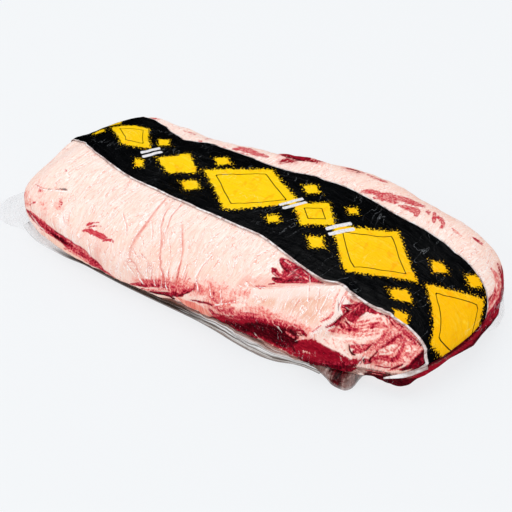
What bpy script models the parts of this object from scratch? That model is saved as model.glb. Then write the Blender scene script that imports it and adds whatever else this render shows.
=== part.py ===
"""A point end brisket, shrunk tight in its clear vacuum bag, with the bag's printed band over the top.

Metres, +Z up. The pack lies flat: +X runs along its length towards the thick end, -Y is its front long side,
and the origin is under the middle of the pack, on the surface that it lies on. The sizes below are in mm.
"""

import math

import bmesh
import bpy
import numpy as np
from mathutils import Vector
from mathutils.bvhtree import BVHTree

MM = 0.001

# The slab's two ends, at the front, middle and back of the width
ACROSS = (-1, 0, 1)
LEFT_END = (-247, -252, -280)
RIGHT_END = (243, 251, 268)

# Along the length: each station's front side, back side and crown
STATIONS = (-242, -205, -155, -100, -40, 20, 80, 130, 170, 205, 235, 260, 278)
FRONT_SIDE = (-139, -143, -140, -134, -129, -125, -125, -124, -115, -113, -133, -124, -108)
BACK_SIDE = (49, 82, 81, 91, 108, 131, 133, 129, 129, 127, 128, 123, 110)
CROWN = (58, 77, 74, 73, 71, 72, 75, 76, 75, 75, 71, 68, 64)

# How square the slab is in plan and in section, the height of its widest line, and how flat it lies
PLAN_POWER = 3.4
SECTION_POWER = 2.7
WAIST = 21
FLATNESS = 1.2

# The relief fades out below this height, towards the flat base
BASE_FADE = 4

# Cells along the slab, in front of, under and behind the band, and up the sides
CELLS_ALONG = 62
CELLS_FRONT = 8
CELLS_BAND = 10
CELLS_BACK = 6
CELLS_UP = 11
CELLS_ACROSS = CELLS_FRONT + CELLS_BAND + CELLS_BACK

# The band's edges as shares of the half width, along its own loop: -1 and 1 are the top edges of the left
# and right ends, and -3 and 3 their bottom edges
FRONT_EDGE_AT = (-3, -1.9, -1.5, -1.09, -0.84, -0.5, -0.28, 0, 0.2, 0.34, 0.57, 0.69, 0.95, 1.26, 1.5, 1.8, 3)
FRONT_EDGE = (-0.3, 0.3, 0.36, 0.04, -0.08, -0.24, -0.31, -0.39, -0.42, -0.5, -0.6, -0.6, -0.7, -0.66, -0.68, -0.7, -0.3)
BACK_EDGE_AT = (-3, -1.9, -1.3, -0.87, -0.72, -0.5, -0.35, -0.2, 0, 0.2, 0.43, 0.79, 1.03, 1.3, 1.55, 1.8, 3)
BACK_EDGE = (0.5, 0.86, 0.88, 0.87, 0.86, 0.61, 0.67, 0.58, 0.45, 0.46, 0.48, 0.46, 0.44, 0.39, 0.22, 0.1, 0.5)
UNDER_EDGES = (-0.3, 0.5)
BAND_GAP = 0.3
BAND_THICKNESS = 0.8
BAND_STOPS_LEFT = 6
BAND_STOPS_RIGHT = 6
TONGUE_ROW = 5
TONGUE_CELLS = 1

# Folds and swellings: a path of points on the surface, its half width, and how far it stands out
RELIEF = (
    ("seam under the fat cap", ((-204, -119, 30), (-172, -128, 34), (-142, -132, 31), (-97, -132, 20)), 8, -3),
    ("hollow flank", ((45, -123, 22), (80, -121, 26), (112, -117, 30)), 12, -6),
    ("undercut", ((-8, -125, 12), (40, -122, 12), (84, -122, 13)), 10, -4),
    ("round muscle", ((138, -113, 28), (165, -106, 29), (184, -102, 24)), 14, 4),
    ("fat ridge", ((146, -62, 68), (152, -75, 63), (150, -93, 56), (144, -108, 46)), 8, 3),
    ("dip past the ridge", ((168, -74, 60), (172, -88, 54)), 12, -4),
    ("cord of fat", ((216, -60, 53), (213, -78, 47), (204, -93, 29)), 7, -3),
    ("fold under the lobe", ((204, -97, 25), (230, -86, 25), (245, -66, 26), (257, -40, 25), (262, 15, 22)), 8, -5),
    ("lower layer", ((208, -96, 7), (231, -88, 7), (246, -64, 8), (256, -30, 8), (256, 40, 9)), 13, 7),
    ("back fold", ((-25, 80, 62), (-4, 92, 60), (16, 90, 61)), 10, 4),
    ("back seam", ((-100, 82, 30), (0, 122, 32), (110, 126, 34), (190, 126, 30)), 8, -3),
    ("back shoulder", ((-178, 60, 60), (-150, 72, 52)), 16, 5),
    ("back dip", ((-112, 72, 58), (-88, 80, 52)), 16, -3),
)
SWELLS = ((0.021, 0.034, 0.7, 1.1), (0.047, -0.029, 2.1, 0.8), (-0.033, 0.061, 4.0, 0.7))

# The bag's loose edges: where each starts and ends, as an inner point and a bearing in degrees, how far it
# reaches past the slab's waist, its height there, and how full it is
EDGE_GAP = 0.6
EDGE_THICKNESS = 0.8
EDGE_STEP = 11
BAG_EDGES = (
    ("bag_edge_front", (-178, -60), 250, (154, -60), 270, (-8, -13, -12, -10, -8, -5, -2, -2, -5), 12, 0),
    ("bag_pocket", (158, -60), 270, (196, -60), 278, (-6, 0, 6, 8, 3, -6), 14, 5),
    ("bag_tail_left", (-182, -60), 246, (-190, -20), 178, (-6, 12, 20, 18, 8, 0), 12, 0),
    ("bag_tail_right", (200, 0), 382, (200, 20), 425, (-6, -4, -2, -2, -4), 10, 0),
    ("bag_edge_back", (196, 30), 60, (-180, 10), 100, (-6, -6, -5, -4, -6, -8, -8), 12, 0),
)

COLOURS = {
    "brisket": (0.80, 0.52, 0.45),
    "printed_band": (0.02, 0.02, 0.02),
    "bag_pocket": (0.30, 0.02, 0.03),
}
FILM_COLOUR = (0.75, 0.72, 0.70)


def smooth_through(x, places, values):
    """A smooth curve through the stations' values, read at x."""
    places = np.asarray(places, float)
    values = np.asarray(values, float)
    slopes = np.gradient(values, places)
    i = np.clip(np.searchsorted(places, x) - 1, 0, len(places) - 2)
    span = places[i + 1] - places[i]
    t = np.clip((x - places[i]) / span, 0, 1)
    rise = values[i + 1] - values[i]
    start = slopes[i] * span - rise
    end = rise - slopes[i + 1] * span
    return values[i] + t * rise + t * (1 - t) * (start * (1 - t) + end * t)


def across(column, loop):
    """A grid column's place across the cube. The band's edges are columns."""
    if loop is None:
        front, back = UNDER_EDGES
    else:
        front = float(smooth_through(loop, FRONT_EDGE_AT, FRONT_EDGE))
        back = float(smooth_through(loop, BACK_EDGE_AT, BACK_EDGE))
    counts = (0, CELLS_FRONT, CELLS_FRONT + CELLS_BAND, CELLS_ACROSS)
    return float(np.interp(column, counts, (-1, front, back, 1)))


def cube_point(i, j, k):
    """The place on a cube from -1 to 1 of a grid point."""
    x = 2 * i / CELLS_ALONG - 1
    z = 2 * k / CELLS_UP - 1
    if j in (0, CELLS_ACROSS):
        return x, 2 * j / CELLS_ACROSS - 1, z
    if k == CELLS_UP:
        return x, across(j, x), z
    if i in (0, CELLS_ALONG):
        return x, across(j, x * (2 - z)), z
    return x, across(j, None), z


def cube_grid():
    """The cube's points, and its quads by face and cell, facing out."""
    index, points, quads = {}, [], {}

    def corner(i, j, k):
        if (i, j, k) not in index:
            index[i, j, k] = len(points)
            points.append(cube_point(i, j, k))
        return index[i, j, k]

    for i in range(CELLS_ALONG):
        for j in range(CELLS_ACROSS):
            for side, k in (("top", CELLS_UP), ("base", 0)):
                quad = [corner(i, j, k), corner(i + 1, j, k), corner(i + 1, j + 1, k), corner(i, j + 1, k)]
                quads[side, i, j] = quad if side == "top" else quad[::-1]
    for i in range(CELLS_ALONG):
        for k in range(CELLS_UP):
            for side, j in (("front", 0), ("back", CELLS_ACROSS)):
                quad = [corner(i, j, k), corner(i + 1, j, k), corner(i + 1, j, k + 1), corner(i, j, k + 1)]
                quads[side, i, k] = quad if side == "front" else quad[::-1]
    for j in range(CELLS_ACROSS):
        for k in range(CELLS_UP):
            for side, i in (("right", CELLS_ALONG), ("left", 0)):
                quad = [corner(i, j, k), corner(i, j + 1, k), corner(i, j + 1, k + 1), corner(i, j, k + 1)]
                quads[side, j, k] = quad if side == "right" else quad[::-1]
    return np.array(points), quads


def rounded(cube):
    """The cube's points moved onto a slab of unit size with rounded sides and squarish corners."""
    plan = (np.abs(cube[:, 0]) ** PLAN_POWER + np.abs(cube[:, 1]) ** PLAN_POWER) ** (1 / PLAN_POWER)
    size = (plan**SECTION_POWER + np.abs(cube[:, 2]) ** SECTION_POWER) ** (1 / SECTION_POWER)
    return cube / size[:, None]


def slab(unit):
    """The unit slab at the cut's own size, in mm, with its underside lying flat."""
    left = smooth_through(unit[:, 1], ACROSS, LEFT_END)
    right = smooth_through(unit[:, 1], ACROSS, RIGHT_END)
    x = left + (right - left) * (unit[:, 0] + 1) / 2
    front = smooth_through(x, STATIONS, FRONT_SIDE)
    back = smooth_through(x, STATIONS, BACK_SIDE)
    crown = smooth_through(x, STATIONS, CROWN)
    y = (front + back) / 2 + (back - front) / 2 * unit[:, 1]
    above = WAIST + (crown - WAIST) * unit[:, 2]
    below = WAIST * (1 + FLATNESS * unit[:, 2])
    z = np.where(unit[:, 2] > 0, above, np.maximum(below, 0))
    return np.stack([x, y, z], axis=1)


def outward(points, quads):
    """Each point's outward direction, from the quads round it."""
    quads = np.array(quads)
    crossed = np.cross(points[quads[:, 2]] - points[quads[:, 0]], points[quads[:, 3]] - points[quads[:, 1]])
    normals = np.zeros_like(points)
    for corner in range(4):
        np.add.at(normals, quads[:, corner], crossed)
    return normals / np.linalg.norm(normals, axis=1)[:, None]


def triangles(quads):
    """Each quad as two triangles, split alike on every piece so that their facets match."""
    return [half for a, b, c, d in quads for half in ((a, b, c), (a, c, d))]


def distance_to_path(points, path):
    """How far each point is from a path of straight stretches."""
    nearest = np.full(len(points), np.inf)
    for start, end in zip(np.array(path[:-1], float), np.array(path[1:], float)):
        along = np.clip((points - start) @ (end - start) / ((end - start) @ (end - start)), 0, 1)
        nearest = np.minimum(nearest, np.linalg.norm(points - start - along[:, None] * (end - start), axis=1))
    return nearest


def relief(points):
    """How far the surface stands out at each point, from its folds and its slow swells."""
    height = np.zeros(len(points))
    for _, path, half_width, stands_out in RELIEF:
        height += stands_out * np.exp(-((distance_to_path(points, path) / half_width) ** 2))
    for along, sideways, phase, stands_out in SWELLS:
        height += stands_out * np.sin(along * points[:, 0] + sideways * points[:, 1] + phase)
    return height * np.clip(points[:, 2] / BASE_FADE, 0, 1)


def add_object(name, points, faces):
    """A closed piece from its points in mm and its faces, with its own material."""
    mesh = bpy.data.meshes.new(name)
    mesh.from_pydata([tuple(point * MM) for point in points], [], faces)
    mesh.shade_smooth()
    obj = bpy.data.objects.new(name, mesh)
    bpy.context.scene.collection.objects.link(obj)
    material = bpy.data.materials.new(name)
    material.use_nodes = True
    surface = material.node_tree.nodes["Principled BSDF"]
    surface.inputs["Base Color"].default_value = (*COLOURS.get(name, FILM_COLOUR), 1)
    surface.inputs["Roughness"].default_value = 0.3
    mesh.materials.append(material)
    return obj


def flatten_base(obj):
    """The flat part of the underside becomes one face."""
    work = bmesh.new()
    work.from_mesh(obj.data)
    flat = [face for face in work.faces if all(abs(vert.co.z) < 1e-7 for vert in face.verts)]
    bmesh.ops.dissolve_faces(work, faces=flat)
    work.to_mesh(obj.data)
    work.free()


def band_quads(quads):
    """The quads that the band covers: down both ends, and along a narrow tongue into the fold."""
    columns = range(CELLS_FRONT, CELLS_FRONT + CELLS_BAND)
    covered = [quads["top", i, j] for i in range(CELLS_ALONG) for j in columns]
    covered += [quads["left", j, k] for j in columns for k in range(BAND_STOPS_LEFT, CELLS_UP)]
    covered += [quads["right", j, k] for j in columns for k in range(BAND_STOPS_RIGHT, CELLS_UP)]
    covered += [quads["right", j, TONGUE_ROW] for j in range(CELLS_FRONT + 2)]
    covered += [quads["front", i, TONGUE_ROW] for i in range(CELLS_ALONG - TONGUE_CELLS, CELLS_ALONG)]
    return covered


def skin(points, normals, covered):
    """A thin closed piece over the covered quads: its points and faces."""
    used = sorted({corner for quad in covered for corner in quad})
    place = {corner: n for n, corner in enumerate(used)}
    inner = points[used] + normals[used] * BAND_GAP
    outer = points[used] + normals[used] * (BAND_GAP + BAND_THICKNESS)
    top = [[place[corner] + len(used) for corner in half] for half in triangles(covered)]
    under = [[place[corner] for corner in half][::-1] for half in triangles(covered)]
    sides = {(quad[n], quad[(n + 1) % 4]) for quad in covered for n in range(4)}
    rim = [
        [place[a], place[b], place[b] + len(used), place[a] + len(used)] for a, b in sides if (b, a) not in sides
    ]
    return np.concatenate([inner, outer]), top + under + rim


def bag_edge(tree, start, start_bearing, end, end_bearing, reaches, top, fullness):
    """A strip of loose film from the slab's side down to the surface that it lies on: its points and faces."""
    start, end = np.array(start, float), np.array(end, float)
    turn = math.radians(abs(end_bearing - start_bearing))
    count = max(6, round((np.linalg.norm(end - start) + turn * 70) / EDGE_STEP))
    heights = np.linspace(top, 4, 4)
    sections = []
    for t in np.linspace(0, 1, count):
        aim = start + (end - start) * t
        bearing = math.radians(start_bearing + (end_bearing - start_bearing) * t)
        out = np.array([math.cos(bearing), math.sin(bearing)])

        def side(z):
            hit = tree.ray_cast(Vector((*(aim + out * 400), z)), Vector((*-out, 0)))[0]
            return np.array(hit[:2]) + out * EDGE_GAP

        inner = [(*side(z), z - EDGE_GAP) for z in heights]
        reach = float(smooth_through(t, np.linspace(0, 1, len(reaches)), reaches))
        foot = side(WAIST) + out * reach
        heel = side(heights[-1])
        if (foot - heel) @ out < EDGE_THICKNESS:
            foot = heel + out * EDGE_THICKNESS
        head = side(top) + out * EDGE_THICKNESS
        belly = (foot + head) / 2 + out * fullness * 0.4
        sections.append(
            [*inner, (*heel, 0), (*foot, 0), (*foot, EDGE_THICKNESS), (*belly, top / 2 + fullness / 2), (*head, top)]
        )
    size = len(sections[0])
    points = np.array([point for section in sections for point in section])
    faces = [list(range(size))[::-1], list(range(len(points) - size, len(points)))]
    for n in range(count - 1):
        for m in range(size):
            a, b = n * size + m, n * size + (m + 1) % size
            faces.append([a, b, b + size, a + size])
    return points, faces


def facing_out(obj):
    """Turns the piece's faces outward."""
    work = bmesh.new()
    work.from_mesh(obj.data)
    bmesh.ops.recalc_face_normals(work, faces=work.faces[:])
    work.to_mesh(obj.data)
    work.free()


def centre_on_origin(pieces):
    """Moves all the pieces so that the origin is under the middle of the pack."""
    points = np.array([vert.co for piece in pieces for vert in piece.data.vertices])
    low, high = points.min(axis=0), points.max(axis=0)
    shift = Vector((-(low[0] + high[0]) / 2, -(low[1] + high[1]) / 2, -low[2]))
    for piece in pieces:
        for vert in piece.data.vertices:
            vert.co += shift


def main():
    for obj in list(bpy.data.objects):
        bpy.data.objects.remove(obj)
    cube, quads = cube_grid()
    smooth = slab(rounded(cube))
    faces = list(quads.values())
    points = smooth + outward(smooth, faces) * relief(smooth)[:, None]
    points[:, 2] = np.maximum(points[:, 2], 0)
    brisket = add_object("brisket", points, triangles(faces))
    pieces = [brisket, add_object("printed_band", *skin(points, outward(points, faces), band_quads(quads)))]
    tree = BVHTree.FromPolygons([tuple(point) for point in points], faces)
    for name, *shape in BAG_EDGES:
        piece = add_object(name, *bag_edge(tree, *shape))
        facing_out(piece)
        pieces.append(piece)
    flatten_base(brisket)
    centre_on_origin(pieces)


main()
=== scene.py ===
"""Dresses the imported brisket: the meat, the clear film over it, the bag's printed band and its loose edges.

The shape is the part's own, drawn on a finer grid, with a few dents more at the thick end. Sizes are in
the part's millimetres before centring, unless said.
"""

import functools
import itertools
import math

import bpy
import numpy as np
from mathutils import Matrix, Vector
from mathutils.bvhtree import BVHTree


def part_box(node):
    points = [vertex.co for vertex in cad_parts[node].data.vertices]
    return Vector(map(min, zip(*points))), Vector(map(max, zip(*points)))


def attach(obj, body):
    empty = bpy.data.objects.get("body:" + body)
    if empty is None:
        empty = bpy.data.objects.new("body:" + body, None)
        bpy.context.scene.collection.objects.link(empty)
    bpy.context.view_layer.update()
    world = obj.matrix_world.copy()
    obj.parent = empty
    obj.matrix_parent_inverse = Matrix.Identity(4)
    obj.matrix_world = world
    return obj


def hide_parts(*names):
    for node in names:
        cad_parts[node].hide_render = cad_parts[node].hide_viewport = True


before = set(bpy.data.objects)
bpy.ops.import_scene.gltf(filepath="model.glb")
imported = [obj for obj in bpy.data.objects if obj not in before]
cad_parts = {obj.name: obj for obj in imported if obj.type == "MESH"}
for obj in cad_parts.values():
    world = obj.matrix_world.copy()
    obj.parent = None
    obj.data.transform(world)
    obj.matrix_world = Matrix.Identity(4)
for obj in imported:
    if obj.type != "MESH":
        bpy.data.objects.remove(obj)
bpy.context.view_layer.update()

MM = 0.001

# The camera: degrees round from the front, degrees up, distance and target in metres
CAMERA_ROUND = 37
CAMERA_UP = 40
CAMERA_DISTANCE = 1.19
CAMERA_TARGET = (0.0313, -0.0363, 0.030)
CAMERA_LENS = 85
SENSOR_WIDTH = 36
PHOTO_SIZE = 512
PHOTO_MIDDLE = PHOTO_SIZE / 2
MOST_STEPS_INWARDS = 16

# The slab's two ends, at the front, middle and back of the width
ACROSS = (-1, 0, 1)
LEFT_END = (-247, -252, -280)
RIGHT_END = (243, 251, 268)

# Along the length: each station's front side, back side and crown
STATIONS = (-242, -205, -155, -100, -40, 20, 80, 130, 170, 205, 235, 260, 278)
FRONT_SIDE = (-139, -143, -140, -134, -129, -125, -125, -124, -115, -113, -133, -124, -108)
BACK_SIDE = (49, 82, 81, 91, 108, 131, 133, 129, 129, 127, 128, 123, 110)
CROWN = (58, 77, 74, 73, 71, 72, 75, 76, 75, 75, 71, 68, 64)
PLAN_POWER = 3.4
SECTION_POWER = 2.7
WAIST = 21
FLATNESS = 1.2
BASE_FADE = 4

# The band's two long edges, as pixels of the photo
FRONT_EDGE = (
    (68.5, 138), (78, 141), (80.5, 143.2), (86.8, 146.8), (95.7, 153.5), (104.6, 159.7), (113.6, 167.3),
    (122.5, 173.6), (131.4, 178.9), (140.4, 183.4), (149.3, 187.4), (158.2, 191.4), (167.1, 195.9),
    (176, 199.9), (185, 203.6), (194, 207.8), (199.6, 210.6), (209.1, 214.6), (218.7, 218.9),
    (228.3, 223.2), (237.8, 227.3), (247.4, 230.9), (257, 235), (266.5, 240.9), (276.1, 248.1),
    (285.7, 255.7), (295.2, 263.4), (304.8, 270.6), (314.4, 276.8), (321.5, 280.8), (328.7, 282.6),
    (335.3, 283.4), (340.7, 286.1), (346.8, 291.4), (354.4, 296.8), (361.7, 301.4), (365.9, 304.5),
    (373.6, 308.7), (381.2, 311.3), (388.5, 314), (392.7, 318.2), (400.3, 323.6), (408, 328.6),
    (415.6, 336.2), (421, 343.9), (423.7, 350), (423.3, 356.1), (424.4, 360.7), (424.6, 366),
)
BACK_EDGE = (
    (146.1, 116.7), (155.8, 120.3), (161.4, 124.9), (166.5, 127.2), (171.6, 132.6), (177.8, 136.6),
    (183.9, 140.5), (191, 141.9), (198.2, 143), (206.3, 143.3), (213.5, 144.8), (221.6, 148.7),
    (231.8, 151.4), (242, 155), (252.2, 158.6), (262.4, 163), (272.7, 167), (282.9, 170), (294.3, 173),
    (308.7, 175.6), (318.3, 177.7), (325.9, 181.1), (337.4, 184), (347, 187.8), (356.5, 192.1),
    (366.1, 196.9), (375.7, 202.1), (385.2, 207.9), (394.8, 213.6), (404.4, 219.2), (413.9, 224.2),
    (423.5, 229.6), (434.9, 236.6), (443.2, 242.4), (451.5, 249), (459.8, 255.6), (468, 263.1),
    (476.3, 273), (481.3, 281.3), (484.6, 288), (485.9, 296.3), (485.9, 306.2), (485, 314.5), (483.8, 322.8),
)

# The band's white tongue: its upper edge and its lower edge
TONGUE = (
    ((426.4, 361.5), (427.4, 368.8)),
    ((423.4, 364.6), (425, 369.6)),
    ((417.6, 367.8), (419.4, 372.2)),
    ((411.8, 370), (413.2, 374.8)),
    ((404.6, 372.4), (405.6, 377.4)),
    ((396.8, 374.4), (397.4, 378.4)),
    ((390, 376), (390.4, 378.4)),
    ((384, 377), (384, 378.2)),
)
TONGUE_STEPS = 5

# The white rims of the band: the front one's widths in mm at places along the band, and the back one's
RIM_PLACES = (-200, 80, 150, 240)
FRONT_RIM_WIDTHS = (1.7, 1.8, 2.4, 3.2)
BACK_RIM_WIDTH = 1.7

# The far end, which the photo can't see: places along the band's loop, and the edge's place across the cube
FAR_FRONT_EDGE = ((-3, 0.3), (-1.9, 0.5))
FAR_BACK_EDGE = ((-3, 0.85), (-1.9, 0.9), (-1.4, 0.95))
WIDEST_EDGE = 0.985
UNDER_EDGES = (-0.3, 0.5)
MEAT_EDGES = (-0.5, 0.5)

# The part's own folds and swellings: a path, its half width, and how far it stands out
RELIEF = (
    (((-204, -119, 30), (-172, -128, 34), (-142, -132, 31), (-97, -132, 20)), 8, -3),
    (((45, -123, 22), (80, -121, 26), (112, -117, 30)), 12, -6),
    (((-8, -125, 12), (40, -122, 12), (84, -122, 13)), 10, -4),
    (((138, -113, 28), (165, -106, 29), (184, -102, 24)), 14, 4),
    (((146, -62, 68), (152, -75, 63), (150, -93, 56), (144, -108, 46)), 8, 3),
    (((168, -74, 60), (172, -88, 54)), 12, -4),
    (((216, -60, 53), (213, -78, 47), (204, -93, 29)), 7, -3),
    (((204, -97, 25), (230, -86, 25), (245, -66, 26), (257, -40, 25), (262, 15, 22)), 8, -5),
    (((208, -96, 7), (231, -88, 7), (246, -64, 8), (256, -30, 8), (256, 40, 9)), 13, 7),
    (((-25, 80, 62), (-4, 92, 60), (16, 90, 61)), 10, 4),
    (((-100, 82, 30), (0, 122, 32), (110, 126, 34), (190, 126, 30)), 8, -3),
    (((-178, 60, 60), (-150, 72, 52)), 16, 5),
    (((-112, 72, 58), (-88, 80, 52)), 16, -3),
)
# Dents that the photo shows and the part's own surface smooths over, in the same way
DENTS = (
    (((246, 72, 30), (256, 50, 20), (258, 26, 18)), 24, -7),
    (((235, -72, 10), (242, -52, 11), (246, -38, 11), (246, -27, 10)), 12.5, -6.3),
    (((208, -90, 9), (217, -89, 9), (226, -85, 9)), 8, 3),
)
SWELLS = ((0.021, 0.034, 0.7, 1.1), (0.047, -0.029, 2.1, 0.8), (-0.033, 0.061, 4.0, 0.7))

# Cells of the two grids: along, (in front of, under and behind the band), and up
MEAT_CELLS = (330, (62, 8, 14), 42)
BAND_CELLS = (300, (14, 74, 10), 44)
LENGTHWISE = (1, 0, 0)
SIDEWAYS = (0, 1, 0)
UPWARDS = (0, 0, 1)

# The lowest row of cells that the band covers at each end
LOWEST_ROWS = {"left": 24, "right": 27}

# Cells are shorter by the lobe: the share taken off their length, and the place's middle and reach
FINER = 0.45
FINER_MIDDLE = 0.72
FINER_REACH = 0.3

# Layers out from the part's surface: the meat, the film over it, and the band's two sides
MEAT_OUT = -0.4
FILM_OUT = 0.15
BAND_OUT = (0.5, 0.9)
TONGUE_LIFT = (0.3, 1.1)
WRINKLE_LIFT = 0.35
INNER_SHARE = 0.6

# Strokes that the photo shows: paths of its pixels, each with a half width in pixels, which are about 1 mm
RIDGE = ((343.6, 289, 0.8), (338.8, 298, 1), (336.5, 307, 1.1), (336, 313, 1.2), (333, 318.5, 1.3),
         (327, 323, 1.2), (319, 329, 1.1), (311, 333.5, 0.8))
CORD = ((405, 327.7, 1), (398.5, 333, 1.1), (391, 339.3, 1.1), (384, 345, 1.1), (377, 350.5, 1))
CORD_CREASE = ((400, 334.5, 0.5), (394, 338.6, 0.9), (388.5, 343, 1), (382.5, 348.3, 1.2), (377.5, 353, 1.2),
               (374, 356.5, 1.2), (371.5, 360, 1.1))
HOLLOW_RIM = ((348.2, 344.5, 0.6), (348.4, 350, 1), (350.5, 354, 1.2), (354, 356.5, 1))
CREASE_1 = ((168, 195.8, 0.5), (158.9, 205.7, 0.7), (149.8, 218.2, 0.9), (143.2, 227.3, 1.1),
            (134.9, 238, 0.9), (130.5, 247, 0.8), (129, 255, 0.7), (131, 261, 0.5), (135.5, 265, 0.5),
            (137, 270, 0.6), (140, 275, 0.7), (143, 281, 1))
CREASE_2 = ((171.4, 201.6, 0.4), (163.9, 215.7, 0.5), (161, 226.5, 0.7), (161.4, 238, 0.6), (160.5, 249, 0.8),
            (159.5, 257, 0.9), (160.5, 262, 0.7), (159.5, 267, 0.8), (162.5, 272, 0.9), (163, 279, 1.1),
            (162.6, 286, 1.4))
CREASE_3 = ((182.1, 224.8, 0.4), (182.1, 236.4, 0.5), (182.5, 249, 0.6), (181.5, 257, 0.6), (180.5, 263, 0.8),
            (178, 270, 1.1), (176.5, 277, 1.3), (175, 284, 1.7))
CREASE_4 = ((182.1, 203.2, 0.4), (171.4, 215.7, 0.6), (164.7, 234.8, 0.5), (163.9, 244.7, 0.4))
CREASE_5 = ((123.3, 214, 0.4), (126.6, 224.8, 0.6), (126.6, 234.8, 0.4))
CREASE_6 = ((141.5, 254, 0.4), (145.5, 258.5, 0.6), (148, 261, 0.5), (147.3, 270, 0.4), (147.5, 277, 0.5))
CREASE_7 = ((88, 239.8, 0.4), (90.5, 254.7, 0.4))
PANEL_CREASE = ((240, 284.3, 0.4), (262, 285.2, 0.6), (283, 284.6, 0.7), (324, 282.6, 0.6))
BACK_FOLD = ((283, 154.5, 0.6), (290, 156.5, 1), (296, 158.5, 1), (305, 159.5, 0.7), (314, 160.5, 0.4))

LEAN = (
    # the hollow flank
    ((212, 318, 1.8), (220, 319, 2.4), (230, 320, 2.8), (242, 321, 3), (254, 323, 3), (266, 325, 3)),
    ((213, 316, 1), (222, 317.4, 1.6), (232, 318.4, 2), (243, 319, 2.4), (254, 320.4, 2.6), (266, 322.2, 3),
     (278, 325, 3.4), (290, 328.4, 3.4), (299, 331.5, 3), (305, 334.5, 2.2)),
    ((214, 321.5, 2), (222, 322.5, 4), (232, 325, 5.5), (244, 326.5, 6.5), (256, 329, 8), (268, 332, 9),
     (280, 336, 10), (291, 340, 8), (298, 345, 5)),
    ((262, 338, 3), (272, 342, 3.5), (282, 346, 3.5), (290, 350, 3.5)),
    # the round muscle
    ((296, 350, 5), (303, 345, 6), (312, 346.5, 7), (322, 351, 8.5), (333, 357, 7.5), (344, 361, 5),
     (354, 362.5, 3.5), (361, 361.5, 1.5)),
    ((284, 347, 3), (291, 351.5, 4), (298, 355.5, 4.5), (306, 359, 5), (318, 361, 5), (332, 363.5, 4),
     (346, 364.5, 3)),
    ((304, 341, 2), (313, 342.5, 2.5), (320, 345, 2)),
    # the right side
    ((498, 264, 0.8), (501, 271, 1.4), (503, 279, 2), (503.5, 287, 2.4), (501, 295, 3), (497, 302, 3.6),
     (490, 309, 4.6)),
    ((492, 296, 2), (489, 305, 3)),
    # along the back
    ((279, 154, 1), (287, 153.6, 2), (295, 155.4, 3), (304, 158, 2.2), (313, 160, 1.4), (323, 161.5, 0.7)),
    ((280, 161.5, 1), (288, 160, 1.8), (296, 161, 1)),
    ((344, 166.5, 0.5), (352, 168.8, 1), (358, 170.5, 1.2), (364, 172, 0.6)),
)
ROSE = (
    # patches in the fat at the left
    ((86.5, 224.6, 1.2), (90, 223.4, 1.1), (98.5, 222.3, 0.6)),
    ((90, 226.2, 0.7), (95, 226, 1.3), (98.5, 226.5, 1.1), (101, 226, 0.4)),
    ((82, 230.5, 1), (86, 230, 2), (90, 231, 2.7), (96, 234, 3.3), (102, 236.5, 3), (105.5, 237.5, 1.7)),
    ((103, 241, 0.6), (107, 240.3, 1.5), (110.5, 240, 1.7), (115.4, 241.8, 0.7)),
    # spots and rims at the left end
    ((56.5, 147, 1.6), (61, 144.8, 2.2), (64, 147.5, 1.2), (68, 148.3, 0.7)),
    ((30, 176, 0.5), (33.5, 172, 0.6)),
    ((21.5, 188, 1.8), (25, 182.5, 1.9), (26.5, 179.5, 0.8)),
    ((66, 170, 0.9),) * 2,
    ((58.5, 198.5, 0.6), (61, 201.5, 1.4), (59.5, 206.5, 1.1)),
    ((30, 205, 0.6), (33, 202.6, 0.6), (35, 202.2, 0.6)),
    ((36.5, 184.5, 0.6), (39, 187.5, 0.8), (40, 191, 1)),
    # along the back
    ((150.4, 117.8, 1.2), (159.3, 118.4, 0.8)),
    ((172, 121, 1.2), (175, 123.2, 0.8)),
    ((184, 130.5, 0.6), (196, 134.3, 0.6)),
    ((199, 141, 1.2), (202, 141.4, 0.8)),
    ((206, 138.6, 0.8), (213, 138.8, 0.6)),
    ((221, 147, 0.8), (226, 147.5, 0.8)),
    ((232, 149, 0.8), (240, 148, 2.4), (249, 150.5, 3), (258, 153.5, 2.2), (267, 156, 1.6)),
    ((236, 152, 0.8), (246, 154.5, 1)),
    ((366, 174, 0.6), (374, 177, 0.8), (382, 180.5, 1), (387, 182, 0.6)),
    ((361.6, 191.8, 1.2), (366, 190.8, 2), (372.4, 191.8, 2.6), (380.7, 194, 2.8), (391.4, 195.8, 3),
     (400, 198, 2.8), (408, 200.5, 3), (416, 203.5, 2.2), (424.6, 205.8, 1.2)),
    ((374, 196.8, 1.5), (386.5, 199.5, 2.2), (396, 201.5, 2.2)),
    ((398.9, 205, 1.2), (408, 208, 2.6), (417, 211, 3.6), (416.3, 214.5, 2.4)),
    ((427.6, 211.5, 2), (428.8, 212.2, 2)),
    ((434.6, 213.8, 2.2), (434.3, 218, 2.4), (433.7, 221.5, 1.6)),
    ((438, 216.8, 1.6), (442, 219.7, 2), (443.8, 223.5, 2), (441.2, 227.3, 1.6)),
    ((453.6, 229.8, 0.7), (457, 232.2, 0.7)),
    ((473.5, 237.5, 0.6), (477, 239.6, 1.4), (482.9, 243.6, 0.7)),
)
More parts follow.
